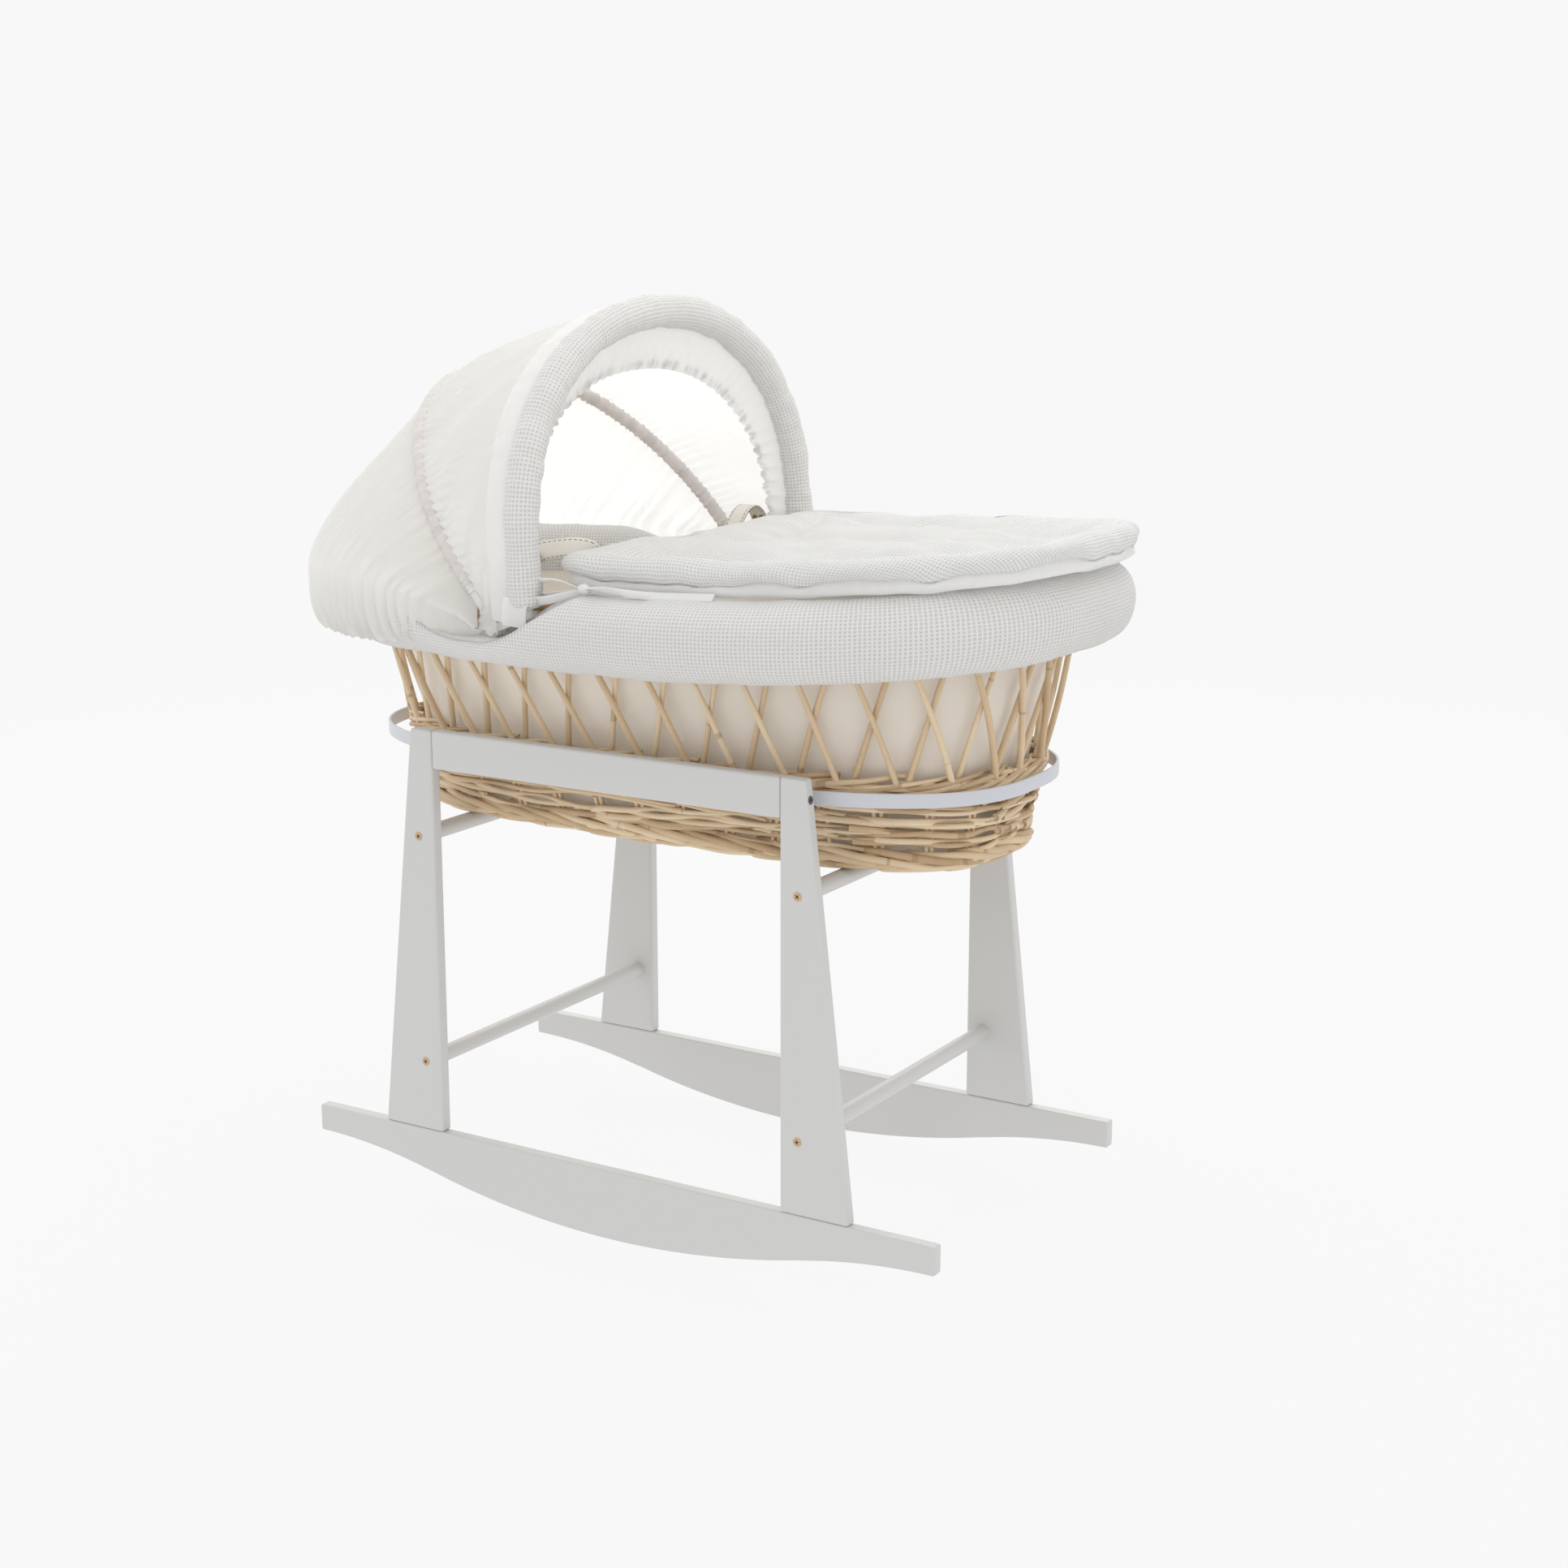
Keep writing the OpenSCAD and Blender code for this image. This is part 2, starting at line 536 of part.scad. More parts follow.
// A flat strip that follows the front hoop. At each point it runs from offset
// p to offset q, given as [outward, forward], and is t thick.
function strip_rings(i0, i1, p, q, t) = [for (i = [i0:i1])
    let (d = along(front_path, i), w = unit(cross(d, cross(front_side, d))),
         o = unit(cross(w, d)), s = sin(180 * ramp(i, 0, front_last)),
         a = mix(p[0], p[1], s), b = mix(q[0], q[1], s),
         e = unit(b - a), n = [-e.y, e.x] * t / 2)
    [for (c = [a + n, b + n, b - n, a - n]) front_path[i] + c.x * o + c.y * w]];
module front_sleeve() {
    edge = -front_roll_d / 2 - 1.5;
    color(cloth) loft(strip_rings(2, front_last - 2, [[4, edge], [4, edge]],
                                  [[2, edge - 20], [2, edge - 20]], 2.4));
}
module hood_frill() {
    edge = -front_roll_d / 2 - 1.5;
    color(cream) loft(strip_rings(4, front_last - 4, [[edge, -6], [edge, -6]],
                                  [[edge - 16, -12], [edge - 52, -22]], 2));
}
module front_arm() {
    foot = front_path[0];
    reach = norm([foot.x + hinge_x, foot.z - hinge_z - 4]);
    color(plastic) {
        eye(front_eye_y);
        translate([-hinge_x, -front_eye_y - eye_t, hinge_z])
            rotate([0, -atan2(foot.z - hinge_z - 4, foot.x + hinge_x), 0])
                translate([eye_r - 0.6, 0, -4]) cube([reach - eye_r, eye_t, 8]);
        translate([foot.x - 5, -front_w, foot.z - 7]) cube([9, front_w - front_eye_y, 6]);
        difference() {
            translate([foot.x, -front_w, foot.z - 7]) cylinder(r = socket_r, h = 18, $fn = fine);
            translate([foot.x, -front_w, foot.z - 0.3]) rotate([0, -front_lean, 0])
                cylinder(r = rod_r + fit, h = 30, $fn = fine);
        }
    }
}

// Fabric panels, as thin shells between curves that run from the near side to
// the far side. Each row is a list of points; inward is towards the hood's middle.
panel_t = 3;
panel_steps = 28;
hood_heart = [-190, 0, 660];
function inward(p) = p - panel_t * unit(p - hood_heart);
module panel(rows) {
    capped_loft([for (i = [0:panel_steps])
        concat([for (r = rows) r[i]], [for (k = [len(rows) - 1:-1:0]) inward(rows[k][i])])],
        strip_cap(2 * len(rows)));
}
function belly(p, out) = p + out * unit(p - hood_heart);
function front_edge(s) =
    let (i = 2.5 + s * (front_last - 5), k = floor(i),
         q = mix(front_path[k], front_path[min(k + 1, front_last)], i - k),
         away = unit([0, q.y, q.z - front_mid_z]))
    q + [-front_roll_d / 2 - 23, 0, 0] + 3 * away;
function rear_edge(s, back) =
    rear_pt(mix(0.05, 0.95, s)) + (rod_r + 3.5) * (back ? [-cos(rear_lean), 0, -sin(rear_lean)]
                                                       : [cos(rear_lean), 0, sin(rear_lean)]);
function ring_of(s, a, b, z) =
    let (p = oval_pt(a, b, roll_n, mix(roll_ang(-124), 360 - roll_ang(-124), 1 - s)))
    [p.x + basket_x, p.y, z + 4 * pow(p.x / a, 2)];
panel_s = [for (i = [0:panel_steps]) i / panel_steps];
module hood_top_panel() {
    color(cloth) panel([for (r = [0:4])
        [for (s = panel_s) belly(mix(front_edge(s), rear_edge(s, false), r / 4), 5 * sin(45 * r))]]);
}
function hem_z(s, z, rise) = z + rise * pow(abs(2 * s - 1), 6);   // the hem rises to the hinges
module hood_back_panel() {
    shoulder = [for (s = panel_s) ring_of(s, roll_a + roll_r + 13, roll_b + roll_r + 6, 700)];
    start = [for (s = panel_s) rear_edge(s, true)];
    color(cloth) panel([start,
        [for (i = [0:panel_steps]) belly(mix(start[i], shoulder[i], 0.35), 7)],
        [for (i = [0:panel_steps]) belly(mix(start[i], shoulder[i], 0.7), 8)],
        shoulder,
        [for (s = panel_s) ring_of(s, roll_a + roll_r + 16, roll_b + roll_r + 7, hem_z(s, 672, 18))],
        [for (s = panel_s) ring_of(s, roll_a + roll_r + 8, roll_b + roll_r + 5, hem_z(s, 640, 42))]]);
}

// ---- handles and coverlet ----------------------------------------------

// Each strap leaves the bumper's top on the head side, rises, folds inward and drops
// inside the basket, runs towards the foot end and comes back up to the bumper.
handle_mid_x = basket_x;
strap_y = 236;                   // where both ends of the strap leave the rim
strap_z = 709;                   // level of both ends
strap_rise = 38;                 // how far the fold stands above the ends
strap_reach = 87;                // how far inward the strap lies
strap_drop = 19;                 // how far below its ends the strap lies inside
fold_steps = 5;
corner_r = 26;                   // radius of the strap's inner corners
strap_path = concat(
    [[-strap_half, -strap_y, strap_z]],
    [for (i = [0:fold_steps]) let (a = 180 - 180 * i / fold_steps)
        [-strap_half, -strap_y + 26 + 22 * cos(a), strap_z + 18 + (strap_rise - 18) * sin(a)]],
    [for (a = [180:22.5:270])
        [-strap_half + corner_r + corner_r * cos(a), -strap_y + strap_reach - corner_r - corner_r * sin(a),
         strap_z - strap_drop * ramp(a, 135, 270)]],
    [for (x = [-30, 0, 30]) [x, -strap_y + strap_reach + 1, strap_z - strap_drop - 1]],
    [for (a = [270:22.5:360])
        [strap_half - corner_r + corner_r * cos(a), -strap_y + strap_reach - corner_r - corner_r * sin(a),
         strap_z - strap_drop * (1 - 0.5 * ramp(a, 270, 360))]],
    [[strap_half, -strap_y + 25, strap_z - 4.2], [strap_half, -strap_y, strap_z + 0.8]]);
// The strap's face points this way at each point: inward over the fold, up inside.
function strap_face(i) =
    let (d = along(strap_path, i), turn = ramp(abs(d.x), 0.2, 0.9),
         across = turn < 1 ? unit(cross([sign(strap_path[i].x), 0, 0], d)) : [0, 0, 0],
         side = (1 - turn) * across + turn * [0, -0.5, -0.87])
    unit(side - (side * d) * d);
module handle() {
    color(leather) translate([handle_mid_x, 0, 0]) {
        loft([for (i = [0:len(strap_path) - 1])
            let (d = along(strap_path, i), n = strap_face(i), w = unit(cross(d, n)),
                 wide = strap_w / 2, thin = strap_t / 2)
            [for (c = [[wide, thin], [-wide, thin], [-wide, -thin], [wide, -thin]])
                strap_path[i] + c.x * w + c.y * n]]);
    }
}
module handle_rivets() {
    color(steel) translate([handle_mid_x - 86, 0, 0]) for (k = [1, 2])
        let (p = (strap_path[k] + strap_path[k + 1]) / 2, d = unit(strap_path[k + 1] - strap_path[k]))
        translate([0, p.y, p.z]) rotate([atan2(d.z, d.y) - 90, 0, 0])
            for (s = [0, 1]) mirror([0, s, 0]) translate([0, strap_t / 2 + 0.1, 0])
                rotate([-90, 0, 0]) cylinder(r = 4, h = 1.4, $fn = 48);
}

coverlet_x0 = -18;
coverlet_x1 = 460;
coverlet_z = roll_z + roll_r + 3.8;       // clear of the straps that pass under it
function coverlet_half(x) = 246 * pow(1 - pow(abs((x - basket_x) / 462), 2.9), 1 / 2.9);
module coverlet() {
    color(cloth) loft([for (i = [0:14])
        let (x = mix(coverlet_x0, coverlet_x1, 1 - pow(1 - i / 14, 1.6)),
             z = coverlet_z + foot_rise * pow(ramp(x, 0, roll_a), 2) + coverlet_t / 2,
             end = i == 0 || i == 14, w = coverlet_half(x) * (end ? 0.98 : 1),
             h = coverlet_t / 2 * (end ? 0.6 : 1))
        [for (a = [0:15:345]) let (p = oval_pt(w, h, 4, a)) [x, p.x, z + p.y]]]);
}

// ---- what is drawn ------------------------------------------------------

rocker();  // rocker_near
far_side() rocker();  // rocker_far
head_end() leg();  // leg_near_head
leg();  // leg_near_foot
head_end() far_side() leg();  // leg_far_head
far_side() leg();  // leg_far_foot
rail();  // rail_near
far_side() rail();  // rail_far
head_end() dowel(upper_dowel_z);  // upper_dowel_head
dowel(upper_dowel_z);  // upper_dowel_foot
head_end() dowel(lower_dowel_z);  // lower_dowel_head
dowel(lower_dowel_z);  // lower_dowel_foot
dowel_screws();
rail_bolts();
barrel_nuts();
leg_pins();
head_end() band();  // band_head
band();  // band_foot
band_screws();
basket_base();
base_border();
side_weave();
upper_waling();
lattice_outer();
lattice_inner();
basket_rim();
mattress();
liner();
bumper();
tie();  // tie_near
far_side() tie();  // tie_far
hood_clip();  // hood_clip_near
far_side() hood_clip();  // hood_clip_far
handle();  // handle_near
far_side() handle();  // handle_far
handle_rivets();  // handle_rivets_near
far_side() handle_rivets();  // handle_rivets_far
coverlet();
rear_arm();  // rear_arm_near
far_side() rear_arm();  // rear_arm_far
rear_hoop();
rear_sleeve();
hood_back_panel();
front_arm();  // front_arm_near
far_side() front_arm();  // front_arm_far
front_hoop();
front_roll();
front_sleeve();
hood_frill();
hood_top_panel();
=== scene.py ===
import random
from math import asin, atan2, copysign, cos, exp, pi, radians, sin, sqrt, tan

import bpy
import numpy as np
from numpy.linalg import norm
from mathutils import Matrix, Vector, noise


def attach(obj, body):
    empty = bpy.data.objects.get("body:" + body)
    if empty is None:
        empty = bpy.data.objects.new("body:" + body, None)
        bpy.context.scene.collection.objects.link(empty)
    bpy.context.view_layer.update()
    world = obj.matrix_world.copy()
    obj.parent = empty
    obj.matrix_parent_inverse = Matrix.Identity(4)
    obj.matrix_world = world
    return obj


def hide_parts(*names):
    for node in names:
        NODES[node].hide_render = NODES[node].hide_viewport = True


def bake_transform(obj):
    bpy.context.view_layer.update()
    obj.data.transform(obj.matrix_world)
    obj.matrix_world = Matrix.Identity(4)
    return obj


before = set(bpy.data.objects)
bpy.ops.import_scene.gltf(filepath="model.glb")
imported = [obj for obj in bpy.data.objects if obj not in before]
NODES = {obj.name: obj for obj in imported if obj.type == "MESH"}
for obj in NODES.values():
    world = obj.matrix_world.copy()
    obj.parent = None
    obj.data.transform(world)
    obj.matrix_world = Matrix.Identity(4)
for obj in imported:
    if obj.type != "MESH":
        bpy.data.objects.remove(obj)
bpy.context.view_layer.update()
rng = random.Random(7)
MM = 0.001
TAU = 2 * pi
SIDES = (("near", -1), ("far", 1))
ENDS = (("head", -1), ("foot", 1))

# ---------------------------------------------------------------- materials


def material(name, color, rough=0.6, metal=0.0, sheen=0.0, specular=0.5):
    m = bpy.data.materials.new(name)
    m.use_nodes = True
    b = m.node_tree.nodes["Principled BSDF"]
    b.inputs["Base Color"].default_value = (*color, 1)
    b.inputs["Roughness"].default_value = rough
    b.inputs["Metallic"].default_value = metal
    b.inputs["Sheen Weight"].default_value = sheen
    b.inputs["Specular IOR Level"].default_value = specular
    return m


class Tree:
    """Short names for building a shader out of nodes."""

    def __init__(self, m):
        self.t = m.node_tree
        self.bsdf = self.t.nodes["Principled BSDF"]
        self.out = self.t.nodes["Material Output"]

    def add(self, kind, **sockets):
        n = self.t.nodes.new(kind)
        for k, v in sockets.items():
            n.inputs[k.replace("_", " ")].default_value = v
        return n

    def link(self, a, b):
        self.t.links.new(a, b)

    def math(self, op, a, b=None):
        n = self.t.nodes.new("ShaderNodeMath")
        n.operation = op
        for i, v in enumerate((a, b)):
            if v is None:
                continue
            if isinstance(v, (int, float)):
                n.inputs[i].default_value = v
            else:
                self.link(v, n.inputs[i])
        return n.outputs[0]

    def noise(self, scale, detail=3.0, rough=0.5, vector=None):
        n = self.add("ShaderNodeTexNoise", Scale=scale, Detail=detail, Roughness=rough)
        if vector is None:
            c = self.t.nodes.new("ShaderNodeTexCoord")
            vector = c.outputs["Object"]
        self.link(vector, n.inputs["Vector"])
        return n.outputs["Fac"]

    def ramp(self, fac, stops):
        n = self.t.nodes.new("ShaderNodeValToRGB")
        e = n.color_ramp.elements
        while len(e) < len(stops):
            e.new(0.5)
        for el, (pos, col) in zip(e, stops):
            el.position = pos
            el.color = (*col, 1)
        self.link(fac, n.inputs["Fac"])
        return n.outputs["Color"]

    def bump(self, height, strength, distance):
        n = self.add("ShaderNodeBump", Strength=strength, Distance=distance)
        self.link(height, n.inputs["Height"])
        self.link(n.outputs["Normal"], self.bsdf.inputs["Normal"])

    def attribute(self, name):
        n = self.t.nodes.new("ShaderNodeAttribute")
        n.attribute_name = name
        return n.outputs["Fac"]

    def uv(self):
        n = self.t.nodes.new("ShaderNodeUVMap")
        n.uv_map = "cloth"
        s = self.t.nodes.new("ShaderNodeSeparateXYZ")
        self.link(n.outputs["UV"], s.inputs[0])
        return s.outputs[0], s.outputs[1]

    def mul(self, a, b):
        return self.math("MULTIPLY", a, b)

    def plus(self, a, b):
        return self.math("ADD", a, b)

    def color(self, socket):
        self.link(socket, self.bsdf.inputs["Base Color"])

    def two_colors(self, fac, a, b):
        """Color a, or color b where fac is 1; each is three numbers or a node's output."""
        n = self.t.nodes.new("ShaderNodeMixRGB")
        self.link(fac, n.inputs["Fac"])
        for key, v in (("Color1", a), ("Color2", b)):
            if isinstance(v, tuple):
                n.inputs[key].default_value = (*v, 1)
            else:
                self.link(v, n.inputs[key])
        self.color(n.outputs[0])

    def over(self, shader, amount):
        """Mixes a second shader into the first."""
        mix = self.add("ShaderNodeMixShader", Fac=amount)
        self.link(self.bsdf.outputs[0], mix.inputs[1])
        self.link(shader.outputs[0], mix.inputs[2])
        self.link(mix.outputs[0], self.out.inputs["Surface"])

    def through(self, color, amount):
        """Lets some light through a thin cloth."""
        self.over(self.add("ShaderNodeBsdfTranslucent", Color=(*color, 1)), amount)


def painted(name, color):
    m = material(name, color, rough=0.42, specular=0.4)
    t = Tree(m)
    t.bump(t.noise(900.0, 2.0), 0.05, 0.0004)
    return m


def willow_material(name):
    m = material(name, (0.6, 0.42, 0.24), rough=0.5, specular=0.35)
    t = Tree(m)
    tone = t.attribute("tone")
    long_ = t.attribute("run")
    comb = t.add("ShaderNodeCombineXYZ")
    t.link(t.mul(tone, 37.0), comb.inputs[0])
    t.link(t.mul(long_, 9.0), comb.inputs[1])
    streak = t.noise(2.0, 4.0, 0.6, comb.outputs[0])
    fine = t.noise(420.0, 3.0)
    k = t.plus(t.mul(tone, 0.55), t.mul(streak, 0.45))
    k = t.plus(k, t.mul(t.math("SUBTRACT", fine, 0.5), 0.12))
    col = t.ramp(k, [(0.15, (0.47, 0.32, 0.18)),
                     (0.42, (0.64, 0.475, 0.30)),
                     (0.68, (0.74, 0.585, 0.40)),
                     (0.92, (0.83, 0.70, 0.51))])
    knots = t.noise(1.0, 1.0, 0.5, comb.outputs[0])
    comb2 = t.add("ShaderNodeCombineXYZ")
    t.link(t.mul(tone, 91.0), comb2.inputs[0])
    t.link(t.mul(long_, 26.0), comb2.inputs[1])
    spots = t.noise(2.2, 0.0, 0.5, comb2.outputs[0])
    mask = t.mul(t.math("GREATER_THAN", spots, 0.75), 0.4)
    t.two_colors(mask, col, (0.27, 0.14, 0.06))
    t.bump(t.plus(fine, knots), 0.25, 0.0006)
    return m


def waffle_material(name, color, pitch=0.0039, through=0.25, depth=0.0011):
    """Waffle weave: a raised grid with a pit in the middle of every cell."""
    m = material(name, color, rough=0.85, sheen=0.2, specular=0.2)
    t = Tree(m)
    u, v = t.uv()
    k = TAU / pitch
    wob = t.noise(60.0, 2.0)
    us = t.mul(t.plus(u, t.mul(wob, 0.0012)), k)
    vs = t.mul(t.plus(v, t.mul(wob, 0.0012)), k)
    cu = t.mul(t.plus(t.math("COSINE", us), 1.0), 0.5)
    cv = t.mul(t.plus(t.math("COSINE", vs), 1.0), 0.5)
    ridge = t.math("MAXIMUM", cu, cv)
    height = t.math("POWER", ridge, 1.2)
    # the ramp paints shade into the pits, darker where the cells dip, and a slight painted highlight on
    # the raised ridges
    col = t.ramp(ridge, [(0.0, tuple(c * 0.72 for c in color)), (0.5, tuple(c * 0.9 for c in color)),
                         (1.0, tuple(min(1, c * 1.03) for c in color))])
    t.color(col)
    t.bump(height, 0.9, depth)
    t.through(color, through)
    return m


def cloth_material(name, color, through=0.35, rough=0.85, weave=2200.0):
    m = material(name, color, rough=rough, sheen=0.25, specular=0.2)
    t = Tree(m)
    t.bump(t.noise(weave, 2.0), 0.15, 0.0003)
    t.through(color, through)
    return m


def leather_material(name, color):
    m = material(name, color, rough=0.45, specular=0.4)
    t = Tree(m)
    u, v = t.uv()
    dash = t.math("GREATER_THAN", t.math("SINE", t.mul(u, TAU / 0.005)), -0.25)
    off = t.math("ABSOLUTE", t.math("SUBTRACT", t.math("ABSOLUTE", v), 0.0085))
    line = t.math("LESS_THAN", off, 0.00055)
    mask = t.mul(t.mul(dash, line), 0.8)
    t.two_colors(mask, color, (0.16, 0.12, 0.09))
    grain = t.noise(700.0, 4.0)
    t.bump(t.math("SUBTRACT", grain, t.mul(mask, 1.0)), 0.3, 0.0005)
    return m


# the white paint gets a grey colour that stands in for the shade on the backlit stand: painted shade over
# the whole stand
WHITE = painted("white_paint", (0.63, 0.628, 0.617))
BAND = painted("band_paint", (0.62, 0.63, 0.67))
WILLOW = willow_material("willow")
WAFFLE = waffle_material("waffle_cloth", (0.955, 0.95, 0.935))
HOOD_CLOTH = cloth_material("hood_cotton", (0.965, 0.96, 0.94), through=0.55)
PLAIN = cloth_material("plain_cotton", (0.965, 0.962, 0.955), through=0.4)
LINER = cloth_material("liner_cotton", (0.90, 0.84, 0.755), through=0.2)
MATTRESS = cloth_material("mattress_cotton", (0.82, 0.79, 0.73), through=0.1)
PLASTIC = material("white_plastic", (0.82, 0.82, 0.80), rough=0.3)
STRAP = leather_material("cream_leather", (0.80, 0.765, 0.69))
RIVET = material("old_brass", (0.36, 0.25, 0.13), rough=0.35, metal=1.0)
BRASS = material("brass", (0.62, 0.44, 0.27), rough=0.35, metal=1.0)
DARK = material("slot_shadow", (0.03, 0.025, 0.02), rough=0.6)
STEEL = material("dark_steel", (0.16, 0.17, 0.18), rough=0.4, metal=0.6)
CANE = material("hoop_wood", (0.62, 0.36, 0.22), rough=0.6)
PEG = material("pale_wood", (0.70, 0.55, 0.36), rough=0.6)

# ---------------------------------------------------------------- mesh tools


def put(name, data):
    o = bpy.data.objects.new(name, data)
    bpy.context.scene.collection.objects.link(o)
    return o


def repaint(node, mat):
    """Another look for a piece that comes from the CAD."""
    NODES[node].data.materials.clear()
    NODES[node].data.materials.append(mat)


def finish_mesh(name, verts, faces, mats, body, replaces=(), slot=None, uv=None, attrs=None,
                smooth=True, face_mats=None, ride=True):
    me = bpy.data.meshes.new(name)
    me.from_pydata([tuple(v) for v in verts], [], [tuple(f) for f in faces])
    me.validate(clean_customdata=False)
    for m in mats if isinstance(mats, (list, tuple)) else [mats]:
        me.materials.append(m)
    if face_mats is not None:
        me.polygons.foreach_set("material_index", np.array(face_mats, np.int32))
    if uv is not None:
        layer = me.uv_layers.new(name="cloth")
        idx = np.zeros(len(me.loops), np.int32)
        me.loops.foreach_get("vertex_index", idx)
        if isinstance(uv, dict):
            flat = np.array(uv["loops"], np.float32)
        else:
            flat = np.array(uv, np.float32)[idx]
        layer.data.foreach_set("uv", flat.ravel())
    for key, values in (attrs or {}).items():
        a = me.attributes.new(key, "FLOAT", "POINT")
        a.data.foreach_set("value", np.array(values, np.float32))
    me.polygons.foreach_set("use_smooth", [smooth] * len(me.polygons))
    me.update()
    o = put(name, me)
    if ride:
        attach(o, body)
    if replaces:
        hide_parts(*replaces)
    return o


def grid_faces(nu, nv, close_u=False, close_v=False):
    i = np.arange(nu if close_u else nu - 1)
    j = np.arange(nv if close_v else nv - 1)
    I, J = np.meshgrid(i, j, indexing="ij")
    a = I * nv + J
    b = I * nv + (J + 1) % nv
    c = ((I + 1) % nu) * nv + (J + 1) % nv
    d = ((I + 1) % nu) * nv + J
    return np.stack([a, b, c, d], -1).reshape(-1, 4)


def lengths(P):
    """Cumulative length along the first axis of an array of points."""
    d = norm(np.diff(P, axis=0), axis=-1)
    return np.concatenate([np.zeros((1, *d.shape[1:])), np.cumsum(d, axis=0)])


def surface(name, P, mats, body, close_u=False, close_v=False, flip=False, uv=None, **kw):
    """A sheet or tube through a grid of points P[u, v]. The texture runs in metres along it."""
    nu, nv = P.shape[:2]
    if uv is None:
        mid_v = nv // 2 if not close_v else 0
        U = lengths(P[:, mid_v])[:, None] * np.ones((1, nv))
        V = lengths(P[nu // 2])[None, :] * np.ones((nu, 1))
        uv = np.stack([U, V], -1)
    F = grid_faces(nu, nv, close_u, close_v)
    loops = uv.reshape(-1, 2)[F].copy()
    if close_v:
        step = np.median(np.diff(uv[0, :, 1]))
        last = (F[:, 1] % nv) == 0
        top = uv[0, -1, 1] + step
        loops[last, 1, 1] = top
        loops[last, 2, 1] = top
    if close_u:
        step = np.median(np.diff(uv[:, 0, 0]))
        last = (F[:, 2] // nv) == 0
        top = uv[-1, 0, 0] + step
        loops[last, 2, 0] = top
        loops[last, 3, 0] = top
    if flip:
        F = F[:, ::-1]
        loops = loops[:, ::-1]
    return finish_mesh(name, P.reshape(-1, 3), F, mats, body, uv={"loops": loops.reshape(-1, 2)}, **kw)


def resample(path, n):
    """The same path with n points at even distances."""
    L = lengths(path)
    t = np.linspace(0, L[-1], n)
    return np.stack([np.interp(t, L, path[:, i]) for i in range(3)], -1)


def unit(v):
    return v / norm(v, axis=-1, keepdims=True)


def tangents(path):
    return unit(np.gradient(path, axis=0))


def frames(path, closed=False):
    """Two side directions that turn as little as possible along a path."""
    n = len(path)
    if closed:
        T = np.roll(path, -1, 0) - np.roll(path, 1, 0)
    else:
        T = np.gradient(path, axis=0)
    T /= norm(T, axis=1, keepdims=True) + 1e-12
    up = np.array([0, 0, 1.0]) if abs(T[0][2]) < 0.9 else np.array([1.0, 0, 0])
    u = np.cross(T[0], up)
    u /= norm(u)
    U = np.zeros_like(T)
    for i in range(n):
        u = u - (u @ T[i]) * T[i]
        u /= norm(u) + 1e-12
        U[i] = u
    return U, np.cross(T, U)


class Rods:
    """Many round rods in one mesh, each with its own tone."""

    def __init__(self):
        self.v, self.f, self.tone, self.run, self.n = [], [], [], [], 0

    def add(self, path, r, k=8, tone=None, closed=False, caps=True, flat=1.0):
        path = np.asarray(path, float)
        m = len(path)
        r = np.full(m, r) if np.isscalar(r) else np.asarray(r, float)
        U, V = frames(path, closed)
        a = np.arange(k) * TAU / k
        ring = path[:, None] + r[:, None, None] * (
            np.cos(a)[None, :, None] * U[:, None] + flat * np.sin(a)[None, :, None] * V[:, None])
        tone = rng.random() if tone is None else tone
        s = lengths(path)
        self.v.append(ring.reshape(-1, 3))
        self.f += (grid_faces(m, k, closed, True) + self.n).tolist()
        self.tone += [tone] * (m * k)
        self.run += np.repeat(s + 3 * tone, k).tolist()
        if caps and not closed:
            self.f.append([self.n + j for j in range(k)])
            self.f.append([self.n + (m - 1) * k + j for j in range(k - 1, -1, -1)])
        self.n += m * k

    def build(self, name, mat, body, **kw):
        return finish_mesh(name, np.concatenate(self.v), self.f, mat, body,
                           attrs={"tone": self.tone, "run": self.run}, **kw)

    def willow(self, name, node):
        """A part of the basket's woven body, in place of a node."""
        self.build(name, WILLOW, "basket", replaces=[node], slot="willow")


def board(name, outline, y0, y1, body, node, mat=WHITE, bevel=0.0025, slot="white_paint"):
    """A flat board from an outline in X and Z, with rounded edges."""
    n = len(outline)
    v = [(x, y0, z) for x, z in outline] + [(x, y1, z) for x, z in outline]
    f = [list(range(n)), list(range(2 * n - 1, n - 1, -1))]
    f += [[i, n + i, n + (i + 1) % n, (i + 1) % n] for i in range(n)]
    o = finish_mesh(name, np.array(v), f, mat, body, replaces=[node], slot=slot, smooth=True)
    soften(o, bevel)
    return o


def soften(o, width, segments=3, angle=40):
    b = o.modifiers.new("bevel", "BEVEL")
    b.width = width
    b.segments = segments
    b.limit_method = "ANGLE"
    b.angle_limit = radians(angle)
    w = o.modifiers.new("weighted", "WEIGHTED_NORMAL")
    w.keep_sharp = True


def cylinder(name, p, q, r, body, mat, node=(), slot=None, k=32, bevel=0.0008):
    p, q = np.array(p, float), np.array(q, float)
    rods = Rods()
    rods.add(np.array([p + (q - p) * t for t in (0, 1)]), r, k=k, tone=0.5)
    o = rods.build(name, mat, body, replaces=node, slot=slot)
    soften(o, bevel, 2)
    return o


def say_tape(path):
    """Works out the length of a tape's path (in mm) and does nothing with it; the tape is folded double
    along its length.
    """
    float(lengths(np.asarray(path, float))[-1]) * MM


def n3(x, y, z=0.0):
    return noise.noise(Vector((x, y, z)))


def ripple(s, scale, y=0.0, z=0.0):
    """Noise along the lengths s."""
    return np.array([n3(x / scale, y, z) for x in s])


def smooth(t):
    t = np.clip(t, 0, 1)
    return t * t * (3 - 2 * t)


def mix(a, b, t):
    return a + (b - a) * t


# ---------------------------------------------------------------- ovals

BX = 8.0
BASE_A, BASE_B, RIM_A, RIM_B = 350.0, 138.0, 403.0, 236.0
WALL_Z0, RIM_TOP = 430.0, 694.0


